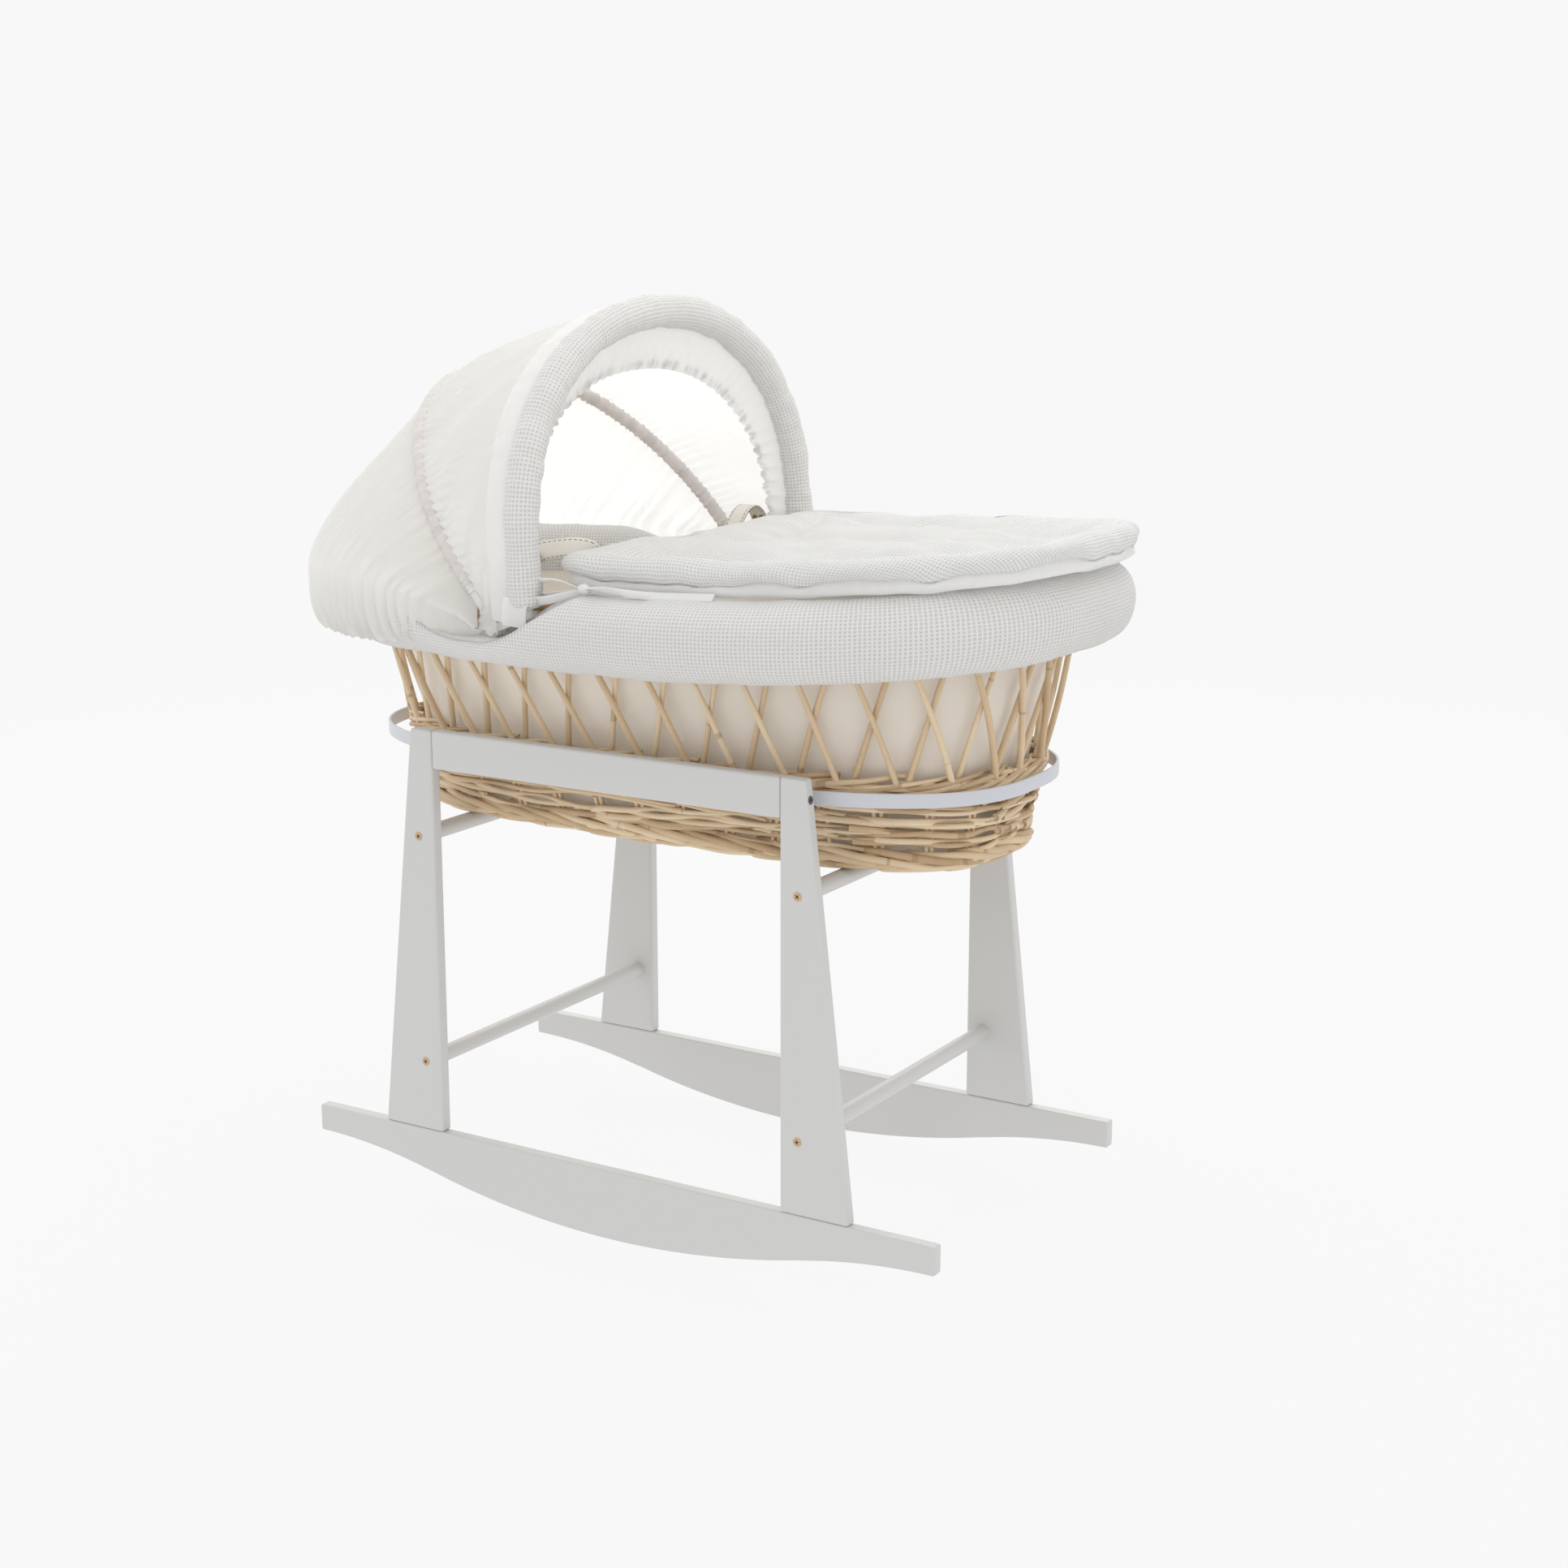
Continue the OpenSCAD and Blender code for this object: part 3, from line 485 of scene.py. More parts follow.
def oval(a, b, n, ang):
    c, s = np.cos(ang), np.sin(ang)
    r = (np.abs(c) ** n + np.abs(s) ** n) ** (-1 / n)
    return np.stack([a * c * r, b * s * r], -1)


def oval_out(a, b, n, p):
    g = np.stack([np.sign(p[..., 0]) * np.abs(p[..., 0] / a) ** (n - 1) / a,
                  np.sign(p[..., 1]) * np.abs(p[..., 1] / b) ** (n - 1) / b], -1)
    return unit(g)


def wall(z, ang, off=0.0):
    """A point of the basket's wall, in mm."""
    t = (z - WALL_Z0) / (RIM_TOP - WALL_Z0)
    a, b, n = mix(BASE_A, RIM_A, t), mix(BASE_B, RIM_B, t), mix(3.3, 2.6, t)
    p = oval(a, b, n, ang)
    q = p + np.asarray(off)[..., None] * oval_out(a, b, n, p)
    return np.stack([q[..., 0] + BX, q[..., 1], z + 0 * q[..., 0]], -1)


_ang = np.linspace(0, TAU, 1441)
_run = lengths(wall(np.full(1441, 592.0), _ang))
ROUND = _run[-1]


def ang_at(s):
    return np.interp(np.mod(s, ROUND), _run, _ang)


STAKES = 34
PITCH = ROUND / STAKES

# ---------------------------------------------------------------- stand


def rocker_outline():
    arc_x, drop, h, end_h, half = 240.0, 28.5, 78.0, 31.0, 400.0
    R = (arc_x ** 2 + drop ** 2) / (2 * drop)
    slope = asin(arc_x / R)
    tip_r = (half - arc_x) / sin(slope)
    tip_z = h - end_h
    pts = []
    for x in np.linspace(-half, -arc_x, 24)[:-1]:
        pts.append((x, tip_z - tip_r + sqrt(tip_r ** 2 - (x + half) ** 2)))
    for x in np.linspace(-arc_x, arc_x, 72):
        pts.append((x, R - sqrt(R * R - x * x)))
    for x in np.linspace(arc_x, half, 24)[1:]:
        pts.append((x, tip_z - tip_r + sqrt(tip_r ** 2 - (x - half) ** 2)))
    return [(x * MM, z * MM) for x, z in pts] + [(half * MM, h * MM), (-half * MM, h * MM)]


LEG_X0, LEG_X1, LEG_Z0, LEG_Z1 = 249, 301, 78, 535.5     # the slanting edge, top and foot
LEG = [(220, LEG_Z0), (LEG_X1, LEG_Z0), (LEG_X0, LEG_Z1), (220, LEG_Z1)]
RAIL = [(-220, 493), (220, 493), (220, LEG_Z1), (-220, LEG_Z1)]
DOWEL_X, DOWEL_Z = 0.241, (0.416, 0.158)
for side, sy in SIDES:
    y0, y1 = sorted((sy * 0.200, sy * 0.215))
    board(f"rocker_{side}_board", rocker_outline(), y0, y1, "stand", f"rocker_{side}")
    board(f"rail_{side}_board", [(x * MM, z * MM) for x, z in RAIL], y0, y1, "stand", f"rail_{side}",
          bevel=0.003)
    for end, sx in ENDS:
        pts = [(sx * x * MM, z * MM) for x, z in LEG]
        board(f"leg_{side}_{end}_board", pts, y0, y1, "stand", f"leg_{side}_{end}", bevel=0.003)
for level, z in zip(("upper", "lower"), DOWEL_Z):
    for end, sx in ENDS:
        x = sx * DOWEL_X
        cylinder(f"{level}_dowel_{end}_round", (x, -0.2, z), (x, 0.2, z), 0.009, "stand", WHITE,
                 [f"{level}_dowel_{end}"], "white_paint")

# countersunk cross-head screws, a little proud of the paint
heads, slots = Rods(), Rods()
for sy in (-1, 1):
    for sx in (-1, 1):
        for z in DOWEL_Z:
            c = np.array([sx * DOWEL_X, sy * 0.2150, z])
            heads.add([c, c + [0, sy * 0.0004, 0], c + [0, sy * 0.0009, 0]],
                      [0.0048, 0.0048, 0.0036], k=28, tone=0.5)
            turn = rng.uniform(0.2, 1.2)
            for a in (turn, turn + pi / 2):
                d = np.array([cos(a), 0, sin(a)]) * 0.0024
                e = c + [0, sy * 0.0008, 0]
                slots.add([e - d, e + d], 0.0006, k=6, tone=0.5)
heads.build("dowel_screw_heads", BRASS, "stand", replaces=["dowel_screws"], slot="brass_screws",
            smooth=False)
slots.build("screw_crosses", DARK, "stand", smooth=False)
bolts, sockets = Rods(), Rods()
for sy in (-1, 1):
    for sx in (-1, 1):
        z = 0.51425
        edge = 0.301 + (0.249 - 0.301) * (z * 1000 - 78) / 457.5
        slope = atan2(52, 457.5)
        d = np.array([sx * cos(slope), 0, sin(slope)])
        c = np.array([sx * edge, sy * 0.2075, z])
        bolts.add([c - d * 0.002, c + d * 0.0003], 0.0046, k=28, tone=0.5)
        sockets.add([c, c + d * 0.0006], 0.0022, k=6, tone=0.5)
bolts.build("rail_bolt_heads", STEEL, "stand", replaces=["rail_bolts"], slot="dark_steel", smooth=False)
sockets.build("rail_bolt_sockets", DARK, "stand", smooth=False)
for n, m in (("barrel_nuts", STEEL), ("leg_pins", PEG), ("band_screws", BAND)):
    repaint(n, m)


def band(name, ang0, ang1, node):
    a = np.linspace(ang0, ang1, 120)
    section = []
    hw, hh, r = 0.0015, 0.0075, 0.0010
    for cx, cz, q in ((1, 1, 0), (-1, 1, 1), (-1, -1, 2), (1, -1, 3)):
        for k in range(4):
            t = pi / 2 * (q + k / 3)
            section.append((cx * (hw - r) + r * cos(t), cz * (hh - r) + r * sin(t)))
    p = oval(395.5, 198.5, 2.75, a)
    o = oval_out(395.5, 198.5, 2.75, p)
    P = np.zeros((len(a), len(section), 3))
    for k, (u, v) in enumerate(section):
        P[:, k, 0] = p[:, 0] * MM + u * o[:, 0]
        P[:, k, 1] = p[:, 1] * MM + u * o[:, 1]
        P[:, k, 2] = 0.5095 + v
    return surface(name, P, BAND, "stand", close_v=True, replaces=[node], slot="white_band")


gap = asin(1 / 198.5) * 1.0
band("band_foot_strip", -pi / 2 + gap, pi / 2 - gap, "band_foot")
band("band_head_strip", pi / 2 + gap, 3 * pi / 2 - gap, "band_head")

# ---------------------------------------------------------------- basket


def wall_rod(rods, s0, s1, zf, off, r, tone=None, step=5.0, k=8, flat=1.0):
    """A willow rod along the wall from s0 to s1 (mm round the basket)."""
    n = max(4, int(abs(s1 - s0) / step))
    s = np.linspace(s0, s1, n)
    t = np.linspace(0, 1, n)
    P = wall(zf(s, t), ang_at(s), off(s, t))
    rods.add(P * MM, r(t) * MM if callable(r) else r * MM, k=k, tone=tone, flat=flat)


def weave_rows(rods, z0, z1, rows, amp, rad, lengths_, rise):
    for row in range(rows):
        z = mix(z0, z1, row / (rows - 1))
        s = rng.uniform(0, PITCH * 5)
        end = s + ROUND
        while s < end:
            lean = 1 if n3(s / 160.0, row // 4 * 3.7) > 0 else -1
            L = PITCH * rng.uniform(*lengths_)
            up = lean * rise * rng.uniform(0.5, 1.3)
            dz = rng.uniform(-1.2, 1.2)
            r0 = rad * rng.uniform(0.86, 1.16)
            ph = rng.uniform(0, 9)
            par = row % 2

            def zf(s_, t, z=z, up=up, dz=dz, ph=ph):
                bow = ripple(s_, 55.0, ph) * 2.6
                return z + dz + up * (t - 0.5) + bow

            def off(s_, t, par=par, ph=ph):
                w = np.cos(pi * (s_ / PITCH + par))
                w = 0.8 * np.sign(w) * np.abs(w) ** 0.8 + 0.35
                tip = 1.5 * (np.exp(-t * 14) + np.exp(-(1 - t) * 14))
                return amp * w + tip

            wall_rod(rods, s, s + L + PITCH * 0.6, zf, off, lambda t, r0=r0: r0 * (1.22 - 0.62 * t), k=8)
            s += L


def sweep_border(rods, z_in, z_out, rad, span, n, inn, out, wob=1.5, start=0.0):
    """A plaited border: every rod comes from inside, crosses the outer face and goes in again."""
    for i in range(n):
        s0 = start + i * ROUND / n + rng.uniform(-6, 6)
        sp = span * PITCH * rng.uniform(0.88, 1.12)
        za, zb = z_in + rng.uniform(-wob, wob), z_out + rng.uniform(-wob, wob)
        ph = rng.uniform(0, 9)
        r0 = rad * rng.uniform(0.9, 1.1)

        def zf(s, t, za=za, zb=zb, ph=ph):
            return mix(za, zb, smooth(t)) + ripple(s, 50.0, ph) * 1.8

        def off(s, t, inn=inn, out=out):
            return -inn + (inn + out) * np.sin(pi * np.clip(t * 1.08, 0, 1)) ** 0.6

        wall_rod(rods, s0, s0 + sp, zf, off, lambda t, r0=r0: r0 * (1.1 - 0.3 * t), k=9)


side = Rods()
weave_rows(side, 446, 507, 15, 3.9, 3.2, (3.5, 8.0), 20.0)
side.willow("woven_side", "side_weave")

wale = Rods()
sweep_border(wale, 508, 524, 3.1, 2.6, 34, 5.0, 7.0)
sweep_border(wale, 515, 529, 2.9, 2.4, 34, 6.0, 5.5, start=PITCH * 0.5)
sweep_border(wale, 524, 512, 2.8, 2.6, 30, 6.0, 4.0, start=PITCH * 0.25)
wale.willow("woven_waling", "upper_waling")

border = Rods()
sweep_border(border, 446, 428.5, 3.9, 4.0, 34, 8.0, 9.0)
sweep_border(border, 428.5, 444, 3.4, 3.4, 26, 6.0, 8.0, start=PITCH * 0.4)
border.willow("woven_base_border", "base_border")

posts = Rods()
for k in range(STAKES):
    for e in (-4.0, 4.0):
        s = (k + 0.5) * PITCH + e + rng.uniform(-1, 1)
        zs = np.linspace(432, 522, 8)
        P = wall(zs, np.full(8, ang_at(s)), np.full(8, -1.5))
        posts.add(P * MM, 2.4 * MM, k=8, tone=0.3 + 0.4 * rng.random())
posts.build("wall_stakes", WILLOW, "basket")


def lattice(name, direction, node):
    rods = Rods()
    z0, z1, zc = 522.0, 674.0, 592.0
    low = (zc - z0) / (z1 - z0)
    for k in range(STAKES):
        s = (k + 0.5) * PITCH + rng.uniform(-2.5, 2.5)
        sa = s + direction * low * 0.9 * PITCH + rng.uniform(-3, 3)
        sb = s - direction * (1 - low) * 0.9 * PITCH + rng.uniform(-3, 3)
        n = 14
        t = np.linspace(0, 1, n)
        ss = mix(sa, sb, t) + rng.uniform(-2, 2) * np.sin(pi * t)
        P = wall(mix(z0, z1, t), ang_at(ss), direction * 3.6 + rng.uniform(-1, 1) * np.sin(pi * t))
        r = rng.uniform(2.9, 3.6)
        rods.add(P * MM, (r * (1.08 - 0.2 * t)) * MM, k=10, tone=0.25 + 0.75 * rng.random())
    rods.willow(name, node)


lattice("lattice_rods_outer", 1, "lattice_outer")
lattice("lattice_rods_inner", -1, "lattice_inner")

rim = Rods()
s = np.linspace(0, ROUND, 300)[:-1]
for off, z, r in ((-3.2, 690, 4.4), (4.2, 688, 4.6), (5.0, 679, 4.5), (-4.0, 680, 4.4), (4.0, 671, 4.0),
                  (-3.4, 671, 4.0)):
    P = wall(z + ripple(s, 60, z) * 1.2, ang_at(s), np.full(len(s), off))
    rim.add(P * MM, r * MM, k=9, closed=True)
rim.willow("rim_rods", "basket_rim")

base = Rods()
for ring in range(9):
    f = 1 - ring * 0.105
    s = np.linspace(0, ROUND, 260)[:-1]
    ang = ang_at(s)
    p = oval(336 * f, 130 * f, 3.2, ang)
    z = 430.2 + 1.9 * np.cos(pi * (s / PITCH + ring))
    base.add(np.stack([p[:, 0] + BX, p[:, 1], z], -1) * MM, 2.9 * MM, k=7, closed=True)
for k in range(11):
    x = mix(-300, 300, k / 10)
    y = 130 * (1 - abs(x / 340) ** 3.2) ** (1 / 3.2)
    base.add(np.array([[x + BX, -y, 430.2], [x + BX, y, 430.2]]) * MM, 3.4 * MM, k=8)
for yy in (-84, -42, 0, 42, 84):
    base.add(np.array([[-320 + BX, yy, 430.2], [320 + BX, yy, 430.2]]) * MM, 3.2 * MM, k=8)
base.willow("woven_base", "basket_base")


def liner():
    nu, nv = 420, 26
    s = np.linspace(0, ROUND, nu + 1)[:-1]
    ang = ang_at(s)
    P = np.zeros((nu, nv, 3))
    for j in range(nv):
        z = mix(437.0, 668.0, j / (nv - 1))
        w = sin(pi * j / (nv - 1)) ** 0.6
        wr = (2.4 * ripple(s, 48.0, z / 160.0, 3) + 1.2 * ripple(s, 19.0, z / 60.0, 8)
              + 0.6 * ripple(s, 9.0, z / 34.0, 5))
        P[:, j] = wall(np.full(nu, z), ang, -14.0 + w * wr)
    o = surface("liner_cloth", P * MM, LINER, "basket", close_u=True, replaces=["liner"],
                slot="liner_cloth")


liner()


def pillow(name, outline, z0, z1, mat, body, node, slot_name, n=10):
    """A soft flat pad between two levels, with rounded sides."""
    out = np.asarray(outline, float)
    c = out.mean(0)
    h = z1 - z0
    r = h / 2
    ring = []
    for f in np.linspace(0.001, 1, n):
        ring.append((f, r, 0.0))
    for a in np.linspace(-90, 90, 9)[1:-1]:
        ring.append((1, r * (1 - cos(radians(a))), r + r * sin(radians(a))))
    for f in np.linspace(1, 0.001, n):
        ring.append((f, r, h))
    P = np.zeros((len(out), len(ring), 3))
    nrm = unit(np.stack([np.gradient(out[:, 1]), -np.gradient(out[:, 0])], -1))
    for j, (f, ins, z) in enumerate(ring):
        q = c + (out - c) * f - nrm * ins * (1 if f > 0.5 else 0)
        P[:, j, :2] = q
        P[:, j, 2] = z0 + z
    o = surface(name, P * MM, mat, body, close_u=True, replaces=[node], slot=slot_name)
    return o


a = np.linspace(0, TAU, 181)[:-1]
pillow("mattress_pad", oval(328, 118, 3.2, a) + [BX, 0], 436.5, 474, MATTRESS, "basket", "mattress",
       "mattress_cloth")

# ---------------------------------------------------------------- bumper

ROLL_Z, ROLL_A, ROLL_B, ROLL_N, ROLL_R = 667.0, 420.0, 253.0, 2.6, 41.0
HX, HZ = -98.0, 662.0


def ramp(v, a, b):
    return smooth((v - a) / (b - a))


def bumper():
    nu, nv = 560, 64
    th = np.linspace(0, TAU, 2881)
    p = oval(ROLL_A, ROLL_B, ROLL_N, th)
    L = lengths(p)
    th = np.interp(np.linspace(0, L[-1], nu + 1)[:-1], L, th)
    p = oval(ROLL_A, ROLL_B, ROLL_N, th)
    o = oval_out(ROLL_A, ROLL_B, ROLL_N, p)
    x = p[:, 0] + BX
    sarc = np.interp(th, np.linspace(0, TAU, 2881), L)
    phi = np.linspace(0, TAU, nv + 1)[:-1] - radians(120)
    base_z = ROLL_Z + np.where(p[:, 0] > 0, 22.0, 4.0) * (p[:, 0] / ROLL_A) ** 2
    out_lim = np.where(x < HX, mix(-13, 60, ramp(-x, 118, 330)), mix(-13, 60, ramp(x, -92, 70)))
    in_lim = np.where(x < HX, mix(4, 60, ramp(-x, 118, 150)), mix(4, 60, ramp(x, -88, -62)))
    P = np.zeros((nu, nv, 3))
    for j, f in enumerate(phi):
        q = oval(ROLL_R, ROLL_R, 2.25, np.array([f]))[0]
        inner = smooth((-22 - q[0]) / 10.0)
        lim = mix(out_lim, in_lim, inner)
        v = np.full(nu, q[1])
        soft = 7.0
        v = np.where(v > lim - soft, lim - soft + soft * (1 - np.exp(-(v - lim + soft) / soft)), v)
        v = np.where(q[1] < lim - soft, q[1], v)
        # wrinkles: gathers under the rim and soft dents across the roll
        wr = 1.6 * ripple(sarc, 70.0, f * 1.2, 1) + 0.8 * ripple(sarc, 26.0, f * 1.5, 4)
        gather = 1.3 * max(0.0, -sin(f)) ** 2 * ripple(sarc, 9.0, 2.0, 6)
        rr = 1 + (wr + gather) / ROLL_R
        P[:, j, 0] = x + q[0] * rr * o[:, 0]
        P[:, j, 1] = p[:, 1] + q[0] * rr * o[:, 1]
        P[:, j, 2] = base_z + v * rr
    P[:, :, 0] = np.clip(P[:, :, 0], -470, 470)
    ob = surface("bumper_roll", P * MM, WAFFLE, "basket", close_u=True, close_v=True, replaces=["bumper"],
                 slot="waffle_cloth")


bumper()


def ribbon(name, path, width_dir, width, mat, body, thick=1.2, node=(), slot_name=None):
    """A flat strip along a path (mm); width_dir is one direction per point."""
    path = np.asarray(path, float)
    W = unit(np.asarray(width_dir, float))
    T = tangents(path)
    N = np.cross(T, W)
    width = np.full(len(path), width) if np.isscalar(width) else np.asarray(width, float)
    prof = [(1, 0.3), (0.9, 1), (0.4, 1), (-0.4, 1), (-0.9, 1), (-1, 0.3),
            (-1, -0.3), (-0.9, -1), (-0.4, -1), (0.4, -1), (0.9, -1), (1, -0.3)]
    P = np.zeros((len(path), len(prof), 3))
    for j, (a, b) in enumerate(prof):
        P[:, j] = path + W * (a * width / 2)[:, None] + N * (b * thick / 2)
    U = lengths(path)[:, None] * np.ones((1, len(prof))) * MM
    V = np.array([a for a, b in prof])[None, :] * width[:, None] / 2 * MM
    return surface(name, P * MM, mat, body, replaces=node, slot=slot_name, uv=np.stack([U, V], -1))


def spline(points, n):
    """A smooth path through the points."""
    pts = np.asarray(points, float)
    d = norm(np.diff(pts, axis=0), axis=1)
    k = np.concatenate([[0], np.cumsum(np.sqrt(d))])
    ext = np.vstack([2 * pts[0] - pts[1], pts, 2 * pts[-1] - pts[-2]])
    kk = np.concatenate([[k[0] - (k[1] - k[0])], k, [k[-1] + (k[-1] - k[-2])]])
    out = []
    for t in np.linspace(0, k[-1], n):
        i = min(max(np.searchsorted(k, t, side="right") - 1, 0), len(pts) - 2) + 1
        t0, t1, t2, t3 = kk[i - 1:i + 3]
        p0, p1, p2, p3 = ext[i - 1:i + 3]
        a1 = (t1 - t) / (t1 - t0) * p0 + (t - t0) / (t1 - t0) * p1
        a2 = (t2 - t) / (t2 - t1) * p1 + (t - t1) / (t2 - t1) * p2
        a3 = (t3 - t) / (t3 - t2) * p2 + (t - t2) / (t3 - t2) * p3
        b1 = (t2 - t) / (t2 - t0) * a1 + (t - t0) / (t2 - t0) * a2
        b2 = (t3 - t) / (t3 - t1) * a2 + (t - t1) / (t3 - t1) * a3
        out.append((t2 - t) / (t2 - t1) * b1 + (t - t1) / (t2 - t1) * b2)
    return np.array(out)


# ---------------------------------------------------------------- hood

FRONT_W, FRONT_MID, FRONT_RISE, FRONT_FOOT, LEAN = 267.0, 750.0, 226.0, 686.0, radians(2.8)
REAR_W, REAR_MID, REAR_REACH, REAR_LEAN = 250.0, 68.0, 316.0, radians(39)


def front_x(z):
    return -44.0 - (z - 604.0) * tan(LEAN)


def front_curve(n=240):
    pts = []
    for z in np.linspace(FRONT_FOOT, FRONT_MID, 20)[:-1]:
        pts.append((front_x(z), -FRONT_W, z))
    for a in np.linspace(0, pi, 200):
        c, s = cos(a), sin(a)
        z = FRONT_MID + FRONT_RISE * abs(s) ** (2 / 2.15)
        y = -FRONT_W * copysign(abs(c) ** (2 / 2.15), c)
        pts.append((front_x(z), y, z))
    for z in np.linspace(FRONT_MID, FRONT_FOOT, 20)[1:]:
        pts.append((front_x(z), FRONT_W, z))
    return resample(np.array(pts), n)


def rear_curve(n=200, start=52.0):
    pts = []
    d = np.array([-sin(REAR_LEAN), 0, cos(REAR_LEAN)])
    piv = np.array([HX, 0, HZ])
    for r in np.linspace(start, REAR_MID, 5)[:-1]:
        pts.append(piv + [0, -REAR_W, 0] + r * d)
    for a in np.linspace(0, pi, 180):
        reach = REAR_MID + (REAR_REACH - REAR_MID) * sin(a)
        pts.append(piv + [0, -REAR_W * cos(a), 0] + reach * d)
    for r in np.linspace(REAR_MID, start, 5)[1:]:
        pts.append(piv + [0, REAR_W, 0] + r * d)
    return resample(np.array(pts), n)


def tube_grid(path, radius, side, k=28):
    T = tangents(path)
    U = unit(np.cross(T, np.asarray(side, float)))
    V = np.cross(T, U)
    a = np.linspace(0, TAU, k + 1)[:-1]
    return path[:, None] + radius[..., None] * (
        np.cos(a)[None, :, None] * U[:, None] + np.sin(a)[None, :, None] * V[:, None])


FRONT = front_curve(420)
REAR = rear_curve(300, 34.0)
FRONT_SIDE = (1.0, 0, -0.05)
REAR_SIDE = (1.0, 0, 0.9)

for end, path, cut, tone in (("front", FRONT, 6, 0.5), ("rear", REAR, 7, 0.95)):
    rods = Rods()
    rods.add(path[cut:-cut] * MM, 4 * MM, k=14, tone=tone)
    rods.build(f"{end}_hoop_rod", CANE, f"hood_{end}", replaces=[f"{end}_hoop"], slot="hoop_wood")


def hood_roll():
    path = FRONT[1:-1]
    n, k = len(path), 32
    s = lengths(path)
    rad = np.zeros((n, k))
    for j in range(k):
        f = TAU * j / k
        rad[:, j] = [18.2 + 1.3 * n3(x / 30.0, cos(f) * 1.3, sin(f) * 1.3)
                     + 1.3 * n3(x / 10.0, cos(f) * 0.8, sin(f) * 0.8)
                     - 1.3 * abs(sin(x / 41.0)) ** 14
                     for x in s]
    end = np.minimum(1, np.minimum(s, s[-1] - s) / 9.0)
    rad *= (0.45 + 0.55 * np.sqrt(np.clip(1 - (1 - end) ** 2, 0, 1)))[:, None]
    P = tube_grid(path, rad, FRONT_SIDE, k)
    o = surface("hood_roll_cloth", P * MM, WAFFLE, "hood_front", close_v=True, replaces=["front_roll"],
                slot="waffle_cloth")


hood_roll()


def arch_frame(path, side):
    T = tangents(path)
    S = np.asarray(side, float) / norm(side)
    O = unit(np.cross(np.broadcast_to(S, T.shape), T))
    c = np.array([path[:, 0].mean(), 0, 740.0])
    flip = np.sign(((path - c) * O).sum(1))
    O = O * np.where(flip == 0, 1, flip)[:, None]
    return O, np.broadcast_to(S, T.shape)


def strip(name, rows, node, slot_name):
    """A strip of plain cloth on the front hoop, from rows of points in mm."""
    P = np.stack(rows, 1)
    o = surface(name, P * MM, PLAIN, "hood_front", replaces=[node], slot=slot_name)


def sleeve():
    foot = np.array([-48.0, FRONT_W - 2, 673.0])
    path = np.vstack([foot * [1, -1, 1], FRONT[2:-2], foot])
    O, S = arch_frame(path, FRONT_SIDE)
    s = lengths(path)
    rows = []
    for j in range(10):
        t = j / 9
        back = -14.0 - 27.0 * t
        lift = 4.5 + 3.0 * sin(pi * t)
        wr = 1.8 * ripple(s, 13.0, t * 2.0, 3) + 1.6 * ripple(s, 40.0, t, 5)
        rows.append(path + O * (lift + wr)[:, None] + S * back)
    strip("hood_sleeve_cloth", rows, "front_sleeve", "waffle_cloth")


sleeve()


def frill():
    """The gathered frill inside the front arch, with an elastic edge."""
    path = FRONT[12:-12]
    O, S = arch_frame(path, FRONT_SIDE)
    s = lengths(path)
    top = np.sin(pi * s / s[-1]) ** 1.1
    wide = mix(24.0, 50.0, top)
    rows = []
    nrow = 16
    warp = s + 5 * ripple(s, 30.0, 2.0)
    for j in range(nrow):
        t = j / (nrow - 1)
        inn = -14.0 - wide * t
        back = -4.0 - 14.0 * t - 6 * top * t
        pleat = (np.abs(np.cos(pi * warp / 19.0)) ** 3 * mix(0.8, 4.2, t)
                 + np.cos(TAU * warp / 6.3 + 1) * mix(0.1, 1.2, t ** 3))
        edge = 2.8 * exp(-((t - 0.88) / 0.09) ** 2)
        depth = back + pleat + edge * np.cos(TAU * warp / 5.2)
        rows.append(path + O * inn[:, None] + S * depth[:, None])
    strip("hood_frill_cloth", rows, "hood_frill", "binding_cloth")


frill()


def rear_sleeve():
    path = REAR[6:-6]
    n, k = len(path), 18
    s = lengths(path)
    rad = np.zeros((n, k))
    for j in range(k):
        f = TAU * j / k
        rad[:, j] = [7.6 + 1.1 * cos(TAU * x / 7.5 + 1.6 * n3(x / 20, 1.0) * 3)
                     + 0.7 * n3(x / 6.0, f) for x in s]
    P = tube_grid(path, rad, REAR_SIDE, k)
    o = surface("rear_hoop_sleeve", P * MM, PLAIN, "hood_rear", close_v=True, replaces=["rear_sleeve"],
                slot="binding_cloth")


rear_sleeve()


def set_blend(o):
    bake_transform(o)
    o.data.update()


def billow(P, amount, centre=(-190.0, 0.0, 660.0)):
    d = P - np.array(centre)
    return P + unit(d) * np.asarray(amount)[..., None]


NS = 520


def to_clip(path, end):
    """The path carried down at both ends to the hinge at the clip."""
    near, far = np.array(end) * [1.0, -1.0, 1.0], np.array(end) * 1.0
    return resample(np.vstack([near[None], path, far[None]]), NS)


def crease(s, scale, y, z):
    """Folds with a sharp ridge, along the lengths s."""
    return 1.0 - 2.4 * np.abs(ripple(s, scale, y, z))


def rear_edge(ahead, end):
    """Where a panel meets the rear hoop, some mm ahead of it."""
    O, _ = arch_frame(REAR, REAR_SIDE)
    return to_clip(REAR + np.array([cos(REAR_LEAN), 0, sin(REAR_LEAN)]) * ahead + O * 3, end)


